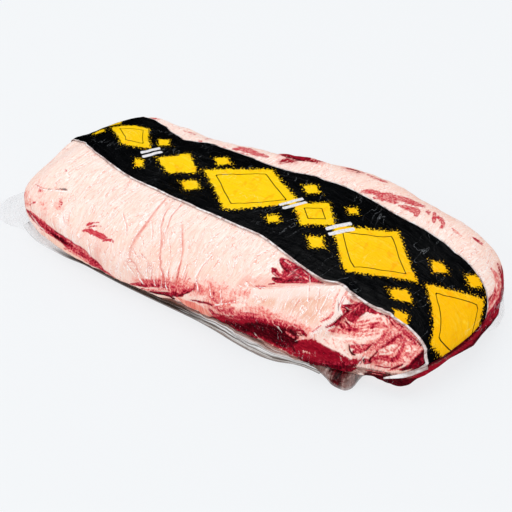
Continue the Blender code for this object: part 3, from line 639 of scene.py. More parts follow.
    (0.74, ((502, 266, 0.8), (504, 276, 1.6), (504.4, 287, 1.8), (501.6, 298, 2.2), (495.6, 307, 2.6),
            (489.6, 315, 2.6))),
    (0.7, ((493, 284, 0.4), (495.6, 291, 0.7), (494, 299, 0.8), (489.6, 306, 0.7))),
    (0.16, ((492, 274, 0.5), (496.6, 284, 0.7), (498.4, 292, 0.5))),
    (0.2, ((499, 296, 0.4), (494.4, 304, 0.6), (488.6, 311, 0.5))),
    (0.66, ((472.4, 237, 0.5), (475.6, 239.2, 1.2), (478.4, 240.6, 0.9))),
    (0.86, ((475.6, 238.8, 0.4), (477.4, 240.6, 0.5))),
    (0.56, ((477.6, 241.8, 0.4), (481, 243.4, 0.4), (484, 245.4, 0.3))),
    (0.3, ((452, 228, 0.7), (458, 232.4, 1), (462, 236, 0.6))),
    # the hollow in the lobe
    (0.66, ((351.6, 346.4, 1.8), (358, 347.4, 3.2), (365, 346.8, 2.8), (370, 344.8, 1.2))),
    (0.7, ((354, 352, 2), (360, 351.4, 2.4), (365.4, 349.4, 1.6))),
    (0.2, ((355, 346, 0.5), (357.4, 348.6, 0.5))),
    (0.25, ((360.6, 345.6, 0.5), (362.4, 348.2, 0.5))),
    (0.3, ((357.4, 351.6, 0.5), (359.6, 353, 0.5))),
    (0.97, ((349, 345, 0.6), (349.6, 350, 0.8), (351.8, 354, 0.9), (355, 355.6, 0.7))),
    (0.5, ((354, 348.4, 0.5), (361, 348.2, 0.6), (366, 346.4, 0.5))),
    (0.55, ((356.4, 351.4, 0.5), (362, 350.6, 0.5))),
    (0.95, ((366, 350.4, 0.6), (369, 347.4, 0.6), (371, 344.8, 0.5))),
    (0.35, ((352, 342.8, 0.5), (359, 343.2, 0.5))),
)
TOUCH_FADE = 0.6
MOST_FADE = 2.0
LINE_REACH = 2.5
CUT_REACH = 1
FAR_OFF = 60.0

# How square to the camera a surface is where it starts to count as seen, and where it is seen in full
FACING = (0.02, 0.2)

# Strokes where the photo can't see, at the back and low round the thick end: x, y, z and half width in mm
HIDDEN_LEAN = (
    ((200, -92, 12, 9), (222, -88, 12, 10), (246, -66, 14, 13), (260, -30, 15, 14), (264, 20, 15, 14),
     (255, 60, 16, 12), (238, 92, 17, 10)),
    ((236, -74, 26, 9), (246, -48, 29, 12), (253, -20, 30, 13), (255, 20, 30, 13), (252, 48, 28, 10),
     (244, 70, 24, 7)),
    ((-150, 80, 26, 3), (-100, 84, 28, 5), (-40, 108, 30, 6), (20, 126, 32, 5), (90, 130, 33, 7),
     (160, 126, 30, 6), (215, 120, 26, 4)),
    ((-60, 100, 46, 2), (-38, 108, 48, 4), (-20, 112, 46, 2)),
    ((60, 126, 50, 1.5), (84, 127, 48, 3.5), (104, 126, 50, 2)),
    ((130, 128, 14, 5), (180, 124, 12, 8), (225, 112, 12, 6)),
)
# Dark lean low round the thick end, partly painted shade where it turns under, and a thin dark line along the
# back
HIDDEN_DEEP = (
    ((200, -94, 12, 10), (215, -92, 12, 11), (228, -86, 12, 10), (243, -70, 12, 7), (250, -52, 11, 4)),
    ((238, -62, 10, 8), (248, -32, 10, 9), (252, 15, 12, 9), (248, 50, 12, 7)),
    ((234, -72, 28, 5), (244, -46, 32, 8), (251, -15, 32, 7), (253, 25, 32, 8), (250, 50, 30, 5)),
    ((-110, 84, 30, 1), (-40, 110, 31, 1.6), (40, 126, 33, 1.4), (120, 128, 33, 2), (190, 126, 29, 1)),
)
HIDDEN_BLUSH = (
    ((-150, 78, 34, 4), (-60, 98, 38, 6), (40, 126, 42, 6), (140, 128, 42, 7), (210, 120, 36, 5)),
)
BACK_CREASES = (
    ((90, 120, 58, 0.5), (96, 127, 44, 0.8), (94, 130, 30, 0.5)),
    ((0, 108, 58, 0.5), (6, 120, 46, 0.8), (4, 126, 32, 0.5)),
    ((150, 122, 56, 0.5), (158, 128, 42, 0.8), (156, 128, 26, 0.5)),
    ((-90, 76, 54, 0.5), (-84, 84, 44, 0.8), (-86, 86, 30, 0.5)),
)

# Grooves in the meat's surface, ridges where the depth is below zero: a stroke, its half width and its depth
CARVED = (
    (CREASE_1, 2.0, 0.7),
    (CREASE_2, 1.8, 0.8),
    (CREASE_3, 2.0, 0.9),
    (CREASE_4, 1.8, 0.5),
    (CREASE_5, 1.8, 0.4),
    (CREASE_6, 1.6, 0.4),
    (CREASE_7, 1.8, 0.4),
    (RIDGE, 2.2, -1.2),
    (HOLLOW_RIM, 1.8, 0.8),
    (CORD_CREASE, 1.6, 0.6),
    (CORD, 1.8, -0.8),
    (BACK_FOLD, 2.4, 1.8),
)
BACK_GROOVE_WIDTH = 2.4
BACK_GROOVE_DEPTH = 1.0

# A groove's lips: how many half widths from its middle they stand, and how high as a share of its depth
LIP_PLACE = 2.2
LIP_HEIGHT = 0.35

# Steps in the meat's surface: a path, how far its left side stands up and its right side sinks, seen from
# above, and how far out sideways that fades
STEPS = (
    (((132, -66, 70), (102, -87, 66), (85, -96, 62), (65, -104, 58)), 1.6, 10),
    (((156, -66, 67), (158, -76, 62), (159, -86, 57), (157, -96, 52)), -1.4, 8),
)
STEP_WIDTH = 1.5

# Diamonds on the band: how far along and across it in mm from the middle, half length and half width
DIAMONDS = (
    (-176, 2, 36, 27), (-98, -4, 24, 19), (-12, 2, 56, 40), (66, 0, 26, 22), (142, -2, 50, 42),
    (247, 1, 46, 43), (-224, 16, 12, 10), (-224, -12, 9, 8),
    (-136, 24, 9, 8), (-134, -26, 7, 6), (-62, 26, 9, 8), (-66, -26, 11, 9), (40, 32, 9, 8), (38, -30, 7, 6),
    (94, -32, 11, 9), (92, 32, 7, 6), (194, -36, 12, 11), (196, 36, 9, 9), (214, -60, 9, 9), (228, 52, 9, 9),
    (300, -40, 12, 11), (300, 38, 11, 10),
)
INSET = 8
INSET_LEAST = 20

# The band's plain white bars: the middle, half length and half width, and bearing in degrees
BARS = ((-137, -1, 14, 2, 62), (-131, -4, 14, 2, 62), (36, 2, 13, 2, 62), (42, -1, 13, 2, 62),
        (96, 2, 15, 2.3, 62), (103, -2, 15, 2.3, 62))

# Smooth noises: how wide their lumps are in mm, one or three numbers, and a seed
NOISE_CELLS = 32
WOBBLE = (7, 3)
DEEP_WOBBLE = (6, 4)
PALE_WOBBLE = (6, 5)
PLEATS = ((4.2, 34, 40), 6)
WIDE_PLEATS = ((10, 46, 40), 16)
CRAGS = (9, 7)
SMALL_CRAGS = (4.5, 8)
FILM_CREASES = ((2.6, 14, 9), 9)
DIAMOND_WOBBLE = (9, 13)
BAND_WRINKLES = ((16, 5, 9), 11)
SLANTED_WRINKLES = ((5, 40, 9), 12)
RIPPLES = ((30, 0.16, 9), 21)
SMALL_RIPPLES = ((7, 0.5, 9), 22)

# Patterns that run across the cut count the way along it less
FLOW_SIDEWAYS = 0.3

# Where values rise from 0 to 1. END_FACE is by how far a surface faces along the pack, ROSY by how much
# rosier than lean a place is, and the others by places in mm
END_FACE = (0.45, 0.75)
ROSY = (-0.5, 1.0)
NOT_PALE = (-1.5, 1.5)
DOWN_THE_SIDE = (-15, 85)
TO_THE_RIGHT = (-110, 20)
FOOT_OF_SIDE = (60, 125)
PLEATED = (0, 80)
CRAGGY = (-1, 3)
HAZY = (-2, 1)
REDDER_BAND = (60, 230)

# The lowest skin is lean up to this height, and the blush and the tint fade out over these widths, all in mm
LEAN_HEIGHT = 4
BLUSH_FADE = 9
TINT_FADE = 12

# How strong the blush is, how uneven, and the least of it at the foot of the side
BLUSH_SHARE = 0.8
BLUSH_UNEVEN = 0.2
LEAST_BLUSH = 0.2

# How ragged each colour's edge is, in mm
RAGGED = {"rose": 0.25, "lean": 0.8, "deep": 0.4, "pale": 0.6, "salmon": 0.5, "tan": 0.4, "diamond": 0.5}

# How strong the low pink is at the left, and how much stronger at the right
LOW_AT_LEFT = 0.45
LOW_MORE_AT_RIGHT = 0.65

# Heights in mm: the film's pleats, the lean's crags, the film's creases, the band's wrinkles and the ripples
PLEAT_HEIGHT = 0.3
PLEAT_MORE_AT_FOOT = 0.4
WIDE_PLEAT_HEIGHT = 0.6
CRAG_HEIGHT = 0.8
SMALL_CRAG_SHARE = 0.5
FILM_CREASE_HEIGHT = 0.12
BAND_WRINKLE_HEIGHT = 0.3
SLANTED_WRINKLE_HEIGHT = 0.25
RIPPLE_HEIGHT = 0.8
SMALL_RIPPLE_HEIGHT = 0.5

# How much the slanted wrinkles lean across and along the band
SLANT = (0.8, 0.4)

# The meat's least height over the floor in mm, the share of a groove that the film follows, and its
# milkiness, which shows as white along the film's creases, partly a painted highlight
MEAT_LEAST_HEIGHT = 0.4
BRIDGED_DEPTH = 0.45
MOST_HAZE = 0.05

# Steps that the band's middle line is measured in: down each end of the pack, and over its top
STEPS_DOWN_END = 60
STEPS_OVER_TOP = 240

# The loose film: its outer edge on the floor, as pixels of the photo or as how far it reaches from the
# pack's side in mm, the line inside the pack that it is drawn towards, and its top and fullness in mm
EDGE_THICKNESS = 0.8
HEEL_HEIGHT = 4
FULLNESS_OUT = 0.4
FULLNESS_UP = 0.5
FILM_STEP = 1.6
LEAST_FILM_STEPS = 24
HIDDEN_FILM_STEPS = 260
FILM_STEPS_DOWN = 12
AT_HEEL = 1.6
BEHIND_FILM = 2.2
WELL_OUTSIDE = 400
STRIP_SOLID = 0.93
TAIL_SOLID = 0.06
FRONT_TOPS = (9, 7, 5, 5, 5, 6, 11, 12, 12, 10, 8)
FRONT_FILM = (
    (23, 226), (27, 231.5), (33, 238), (42, 245), (53, 250.8), (66, 257.5), (83, 264.5), (100, 273.5),
    (120, 284), (150, 298.6), (170, 308), (198, 321.5), (215, 331), (232, 341.5), (248, 350.5),
    (265, 358.3), (277, 361.8), (290, 363.8), (300, 366), (310, 369.7), (319, 374),
)
POCKET = (
    (316, 369), (321, 373.5), (327, 379.5), (332, 385), (338, 388.3), (345, 390.6), (350, 389.4),
    (354, 386.3), (358, 381), (362, 376.5), (366, 375.3),
)
FRONT_AIMS = ((-186, -60), (160, -60))
POCKET_AIMS = ((150, -60), (192, -60))
POCKET_TOPS = (14,)
POCKET_FULLNESS = 5
LEFT_TAIL_AIMS = ((-186, -70), (-190, 10))
LEFT_TAIL_TOPS = (12,)
RIGHT_TAIL_TOPS = (26,)
BACK_TOPS = (12,)
LEFT_TAIL = ((27, 232), (19, 228), (8, 224.5), (0.5, 219.5), (-0.5, 211), (1, 203.5), (8, 198.5), (17, 195))
RIGHT_TAIL_ENDS = ((205, 20, 20), (205, 36, 58))
RIGHT_TAIL_REACHES = (-3, 2, 4, 5, 3, -3)
BACK_REACHES = (-6, -6, -5, -4, -6, -8, -8)
BACK_FILM_ENDS = ((196, 30, 60), (-180, 10, 100))

# The studio, in metres: the floor's half size and how far it lies under the pack, its glow, the world's
# light, and the soft square lamps aimed at the pack, each with its place, size and watts
FLOOR_HALF = 4
FLOOR_DROP = 0.0004
FLOOR_GLOW = 0.8
WORLD_COLOUR = (0.96, 0.98, 1.0, 1)
WORLD_STRENGTH = 0.86
LAMPS = (("overhead", (-0.3, 0.1, 2.0), 1.6, 11), ("front", (-0.6, -2.0, 1.2), 1.4, 8))


def smooth_through(x, places, values):
    """A smooth curve through the stations' values, read at x."""
    places = np.asarray(places, float)
    values = np.asarray(values, float)
    slopes = np.gradient(values, places)
    i = np.clip(np.searchsorted(places, x) - 1, 0, len(places) - 2)
    span = places[i + 1] - places[i]
    t = np.clip((x - places[i]) / span, 0, 1)
    rise = values[i + 1] - values[i]
    start = slopes[i] * span - rise
    end = rise - slopes[i + 1] * span
    return values[i] + t * rise + t * (1 - t) * (start * (1 - t) + end * t)


class Grid:
    """The slab's skin on a cube's grid: its points on the cube, and its quads by side and cell."""

    def __init__(self, along, columns, up, edges):
        self.along, self.up, self.edges = along, up, edges
        self.wide = sum(columns)
        middles = (np.arange(along) + 0.5) * 2 / along - 1
        steps = 1 - FINER * np.exp(-(((middles - FINER_MIDDLE) / FINER_REACH) ** 2))
        self.lengthwise = np.concatenate([[0], np.cumsum(steps)]) / steps.sum() * 2 - 1
        self.stops = (0, columns[0], columns[0] + columns[1], self.wide)
        self.index, self.cube, self.quads = {}, [], {}
        for i in range(along):
            for j in range(self.wide):
                self.quads["top", i, j] = self.quad((i, j, up), LENGTHWISE, SIDEWAYS)
        for i in range(along):
            for k in range(up):
                self.quads["front", i, k] = self.quad((i, 0, k), LENGTHWISE, UPWARDS)
                self.quads["back", i, k] = self.quad((i, self.wide, k), LENGTHWISE, UPWARDS)[::-1]
        for j in range(self.wide):
            for k in range(up):
                self.quads["right", j, k] = self.quad((along, j, k), SIDEWAYS, UPWARDS)
                self.quads["left", j, k] = self.quad((0, j, k), SIDEWAYS, UPWARDS)[::-1]
        self.cube = np.array(self.cube)
        rim = [self.corner(0, j, 0) for j in range(self.wide)]
        rim += [self.corner(i, self.wide, 0) for i in range(along)]
        rim += [self.corner(along, j, 0) for j in range(self.wide, 0, -1)]
        rim += [self.corner(i, 0, 0) for i in range(along, 0, -1)]
        self.faces = list(self.quads.values()) + [tuple(rim)]

    def quad(self, start, first, second):
        """A cell's corners: its start, then a step the first way, both ways, and the second way."""
        corners = []
        for a, b in ((0, 0), (1, 0), (1, 1), (0, 1)):
            corners.append(self.corner(*(n + a * p + b * q for n, p, q in zip(start, first, second))))
        return tuple(corners)

    def corner(self, i, j, k):
        if (i, j, k) not in self.index:
            self.index[i, j, k] = len(self.cube)
            self.cube.append(self.place(i, j, k))
        return self.index[i, j, k]

    def place(self, i, j, k):
        """The place on the cube of a grid point. The band's edges are columns."""
        x = float(self.lengthwise[i])
        z = 2 * k / self.up - 1
        if j in (0, self.wide):
            return x, 2 * j / self.wide - 1, z
        on_loop = k == self.up or i in (0, self.along)
        front, back = self.edges(place_on_loop(x, z) if on_loop else None)
        return x, float(np.interp(j, self.stops, (-1, front, back, 1))), z


def place_on_loop(x, z):
    """A place along the band's loop: x on top of the cube, and further on down its two ends."""
    return x * (2 - z)


def rounded(cube):
    """The cube's points moved onto a slab of unit size with rounded sides and squarish corners."""
    plan = (np.abs(cube[:, 0]) ** PLAN_POWER + np.abs(cube[:, 1]) ** PLAN_POWER) ** (1 / PLAN_POWER)
    size = (plan**SECTION_POWER + np.abs(cube[:, 2]) ** SECTION_POWER) ** (1 / SECTION_POWER)
    return cube / size[:, None]


def slab(unit):
    """The unit slab at the cut's own size, with its underside lying flat."""
    left = smooth_through(unit[:, 1], ACROSS, LEFT_END)
    right = smooth_through(unit[:, 1], ACROSS, RIGHT_END)
    x = left + (right - left) * (unit[:, 0] + 1) / 2
    front = smooth_through(x, STATIONS, FRONT_SIDE)
    back = smooth_through(x, STATIONS, BACK_SIDE)
    crown = smooth_through(x, STATIONS, CROWN)
    y = (front + back) / 2 + (back - front) / 2 * unit[:, 1]
    above = WAIST + (crown - WAIST) * unit[:, 2]
    below = WAIST * (1 + FLATNESS * unit[:, 2])
    z = np.where(unit[:, 2] > 0, above, np.maximum(below, 0))
    return np.stack([x, y, z], axis=1)


def refined(cube, quads, others, chosen):
    """The cube's points and faces once the chosen quads are cut in four and the faces beside them match."""
    cube = [tuple(point) for point in cube]
    middles = {}

    def middle(a, b):
        key = (min(a, b), max(a, b))
        if key not in middles:
            middles[key] = len(cube)
            cube.append(tuple((p + q) / 2 for p, q in zip(cube[a], cube[b])))
        return middles[key]

    faces = []
    kept = []
    for quad, cut in zip(quads, chosen):
        if not cut:
            kept.append(quad)
            continue
        a, b, c, d = quad
        ab, bc, cd, da = middle(a, b), middle(b, c), middle(c, d), middle(d, a)
        heart = len(cube)
        cube.append(tuple(sum(cube[corner][n] for corner in quad) / 4 for n in range(3)))
        faces += [(a, ab, heart, da), (ab, b, bc, heart), (heart, bc, c, cd), (da, heart, cd, d)]
    for face in kept + others:
        corners = []
        for a, b in zip(face, face[1:] + face[:1]):
            corners.append(a)
            if (min(a, b), max(a, b)) in middles:
                corners.append(middles[min(a, b), max(a, b)])
        faces.append(tuple(corners))
    return np.array(cube), faces


def outward(points, faces):
    """Each point's outward direction, from the faces round it."""
    normals = np.zeros_like(points)
    for size in sorted({len(face) for face in faces}):
        ring = np.array([face for face in faces if len(face) == size])
        crossed = np.zeros((len(ring), 3))
        start = points[ring[:, 0]]
        for n in range(1, size - 1):
            crossed += np.cross(points[ring[:, n]] - start, points[ring[:, n + 1]] - start)
        for corner in range(size):
            np.add.at(normals, ring[:, corner], crossed)
    return normals / np.linalg.norm(normals, axis=1)[:, None]


def from_stretch(points, start, end):
    """How far each point is from a straight stretch, and the share of it at which it is nearest."""
    run = end - start
    share = np.clip((points - start) @ run / max(run @ run, 1e-9), 0, 1)
    return np.linalg.norm(points - start - share[:, None] * run, axis=1), share


def distance_to_path(points, path):
    """How far each point is from a path of straight stretches."""
    path = np.array(path, float)[:, :3]
    return np.min([from_stretch(points, start, end)[0] for start, end in zip(path[:-1], path[1:])], axis=0)


def inside(points, strokes):
    """How far inside the nearest stroke each point is, in the points' own unit."""
    depth = np.full(len(points), -FAR_OFF)
    for stroke in strokes:
        stroke = np.array(stroke, float)
        for start, end in zip(stroke[:-1], stroke[1:]):
            away, share = from_stretch(points, start[:-1], end[:-1])
            depth = np.maximum(depth, start[-1] + (end[-1] - start[-1]) * share - away)
    return depth


def nearest_line(points, strokes):
    """How far each point is from the nearest stroke, below zero on one side, and its half width there."""
    away = np.full(len(points), np.inf)
    side = np.ones(len(points))
    width = np.zeros(len(points))
    for stroke in strokes:
        stroke = np.array(stroke, float)
        for start, end in zip(stroke[:-1], stroke[1:]):
            gap, share = from_stretch(points, start[:-1], end[:-1])
            run = end - start
            turn = run[0] * (points[:, 1] - start[1]) - run[1] * (points[:, 0] - start[0])
            side = np.where(gap < away, np.where(turn < 0, -1.0, 1.0), side)
            width = np.where(gap < away, start[-1] + run[-1] * share, width)
            away = np.minimum(away, gap)
    return away * side, np.where(away < LINE_REACH, width, -LINE_REACH)


def touched(points, touches):
    """How red the touches leave each point, times how much they cover it, and how much they cover it."""
    shade = np.zeros(len(points))
    cover = np.zeros(len(points))
    for redness, stroke in touches:
        half_width = np.mean([place[-1] for place in stroke])
        fade = min(max(TOUCH_FADE, half_width / 2), MOST_FADE)
        weight = ease(inside(points, (stroke,)), -fade, fade)
        shade += (redness - shade) * weight
        cover += (1 - cover) * weight
    return shade, cover


def relief(points):
    """How far the surface stands out at each point, from its folds, its dents and its slow swells."""
    height = np.zeros(len(points))
    for path, half_width, stands_out in RELIEF + DENTS:
        height += stands_out * np.exp(-((distance_to_path(points, path) / half_width) ** 2))
    for along, sideways, phase, stands_out in SWELLS:
        height += stands_out * np.sin(along * points[:, 0] + sideways * points[:, 1] + phase)
    return height * np.clip(points[:, 2] / BASE_FADE, 0, 1)


def rough(points, size, seed):
    """Smooth noise from -1 to 1 at each point. size is how wide its lumps are, one or three numbers."""
    table = np.random.default_rng(seed).uniform(-1, 1, (NOISE_CELLS, NOISE_CELLS, NOISE_CELLS))
    place = points / np.asarray(size, float)
    cell = np.floor(place).astype(int)
    share = place - cell
    share = share * share * (3 - 2 * share)
    total = np.zeros(len(points))
    for step in itertools.product((0, 1), repeat=3):
        weight = np.prod(np.where(step, share, 1 - share), axis=1)
        total += weight * table[tuple(((cell + step) % NOISE_CELLS).T)]
    return total


def ease(x, low, high):
    """0 below low, 1 above high, and smooth between."""
    t = np.clip((x - low) / (high - low), 0, 1)
    return t * t * (3 - 2 * t)


def flow_of(points):
    """Places for patterns that run across the cut: along its length, then over its edge and down."""
    x, y, z = points.T
    return np.stack([x, np.abs(y) - z, FLOW_SIDEWAYS * y], axis=1)


def carve(points):
    """The height of the grooves with their lips, the ridges and the steps, at each point."""
    height = np.zeros(len(points))
    carved = [(on_skin(path), half_width, depth) for path, half_width, depth in CARVED]
    carved += [(path, BACK_GROOVE_WIDTH, BACK_GROOVE_DEPTH) for path in BACK_CREASES]
    for path, half_width, depth in carved:
        away = distance_to_path(points, path) / half_width
        height -= depth * np.exp(-(away**2))
        height += LIP_HEIGHT * max(depth, 0) * np.exp(-((away - LIP_PLACE) ** 2))
    for path, rise, fade in STEPS:
        path = np.array(path, float)
        best = np.full(len(points), np.inf)
        side = np.zeros(len(points))
        for start, end in zip(path[:-1], path[1:]):
            away = from_stretch(points, start, end)[0]
            run = end - start
            turn = run[0] * (points[:, 1] - start[1]) - run[1] * (points[:, 0] - start[0])
            side = np.where(away < best, turn / np.linalg.norm(run[:2]), side)
            best = np.minimum(best, away)
        height += rise * np.clip(side / STEP_WIDTH, -1, 1) * np.exp(-((best / fade) ** 2))
    return height


def paint(red, green, blue, alpha=1.0):
    """A colour from its sRGB bytes."""
    values = [channel / 255 for channel in (red, green, blue)]
    linear = [v / 12.92 if v <= 0.04045 else ((v + 0.055) / 1.055) ** 2.4 for v in values]
    return (*linear, alpha)


TAIL_GREY = paint(222, 221, 224)


class Nodes:
    """Short calls for building one material's nodes."""

    def __init__(self, name):
        self.material = bpy.data.materials.new(name)
        self.material.use_nodes = True
        self.tree = self.material.node_tree
        self.tree.nodes.clear()

    def add(self, kind, inputs=(), **settings):
        node = self.tree.nodes.new(kind)
        for key, value in settings.items():
            setattr(node, key, value)
        for key, value in dict(inputs).items():
            self.feed(node.inputs[key], value)
        return node

    def feed(self, socket, value):
        if isinstance(value, bpy.types.NodeSocket):
            self.tree.links.new(value, socket)
        else:
            socket.default_value = value

    def attribute(self, name, output="Fac"):
        return self.add("ShaderNodeAttribute", attribute_name=name).outputs[output]

    def attributes(self, *names):
        return [self.attribute(name) for name in names]

    def math(self, operation, a, b=0.0, c=0.0, clamp=False):
        node = self.add("ShaderNodeMath", operation=operation, use_clamp=clamp)
        for socket, value in zip(node.inputs, (a, b, c)):
            self.feed(socket, value)
        return node.outputs[0]

    def plus(self, a, b):
        return self.math("ADD", a, b)

    def minus(self, a, b):
        return self.math("SUBTRACT", a, b)

    def times(self, a, b):
        return self.math("MULTIPLY", a, b)

    def times_plus(self, a, b, c, clamp=False):
        """a times b, plus c."""
        return self.math("MULTIPLY_ADD", a, b, c, clamp)

    def size_of(self, value):
        """The value without its sign."""
        return self.math("ABSOLUTE", value)

    def centred(self, noise):
        """A noise moved to lie round zero."""
        return self.minus(noise, 0.5)

    def within(self, name):
        """How far inside the nearest thin stroke of a kind a place is."""
        return self.minus(self.attribute(name + "_width"), self.size_of(self.attribute(name + "_side")))

    def span(self, value, low, high, start=0.0, end=1.0):
        """start below low, end above high, and smooth between."""
        names = {"Value": value, "From Min": low, "From Max": high, "To Min": start, "To Max": end}
        return self.add("ShaderNodeMapRange", names, interpolation_type="SMOOTHSTEP").outputs["Result"]

    def stretch(self, vector, scale):
        node = self.add("ShaderNodeVectorMath", operation="MULTIPLY")
        self.feed(node.inputs[0], vector)
        self.feed(node.inputs[1], scale)
        return node.outputs[0]

    def pattern(self, vector, scale, detail, roughness=0.5, distortion=0.0):
        """Noise over places that are stretched by a scale along each axis."""
        inputs = {"Vector": self.stretch(vector, scale), "Scale": 1.0, "Detail": detail}
        inputs.update({"Roughness": roughness, "Distortion": distortion})
        return self.add("ShaderNodeTexNoise", inputs).outputs["Fac"]

    def mix(self, share, a, b):
        node = self.add("ShaderNodeMix", data_type="RGBA")
        self.feed(node.inputs["Factor"], share)
        self.feed(node.inputs[6], a)
        self.feed(node.inputs[7], b)
        return node.outputs[2]

    def average(self, share, a, b):
        node = self.add("ShaderNodeMix", data_type="FLOAT")
        self.feed(node.inputs["Factor"], share)
        self.feed(node.inputs[2], a)
        self.feed(node.inputs[3], b)
        return node.outputs[0]

    def ramp(self, value, *stops):
        """Colours along a value. A stop is its place and the colour's sRGB bytes."""
        node = self.add("ShaderNodeValToRGB", {"Fac": value})
        elements = node.color_ramp.elements
        start, *between, stop = [(place, paint(*colour)) for place, *colour in stops]
        elements[0].position, elements[0].color = start
        elements[1].position, elements[1].color = stop
        for place, colour in between:
            elements.new(place).color = colour
        return node.outputs["Color"]

    def bump(self, height, strength, distance):
        inputs = {"Height": height, "Strength": strength, "Distance": distance}
        return self.add("ShaderNodeBump", inputs).outputs["Normal"]

    def shader(self, colour, roughness, normal, specular, **more):
        """The finished material, from numbers, colours or sockets."""
        inputs = {"Base Color": colour, "Roughness": roughness, "Normal": normal, **more}
        inputs["Specular IOR Level"] = specular
        return self.finish(self.add("ShaderNodeBsdfPrincipled", inputs).outputs[0])

    def finish(self, surface):
        self.tree.links.new(surface, self.add("ShaderNodeOutputMaterial").inputs["Surface"])
        return self.material


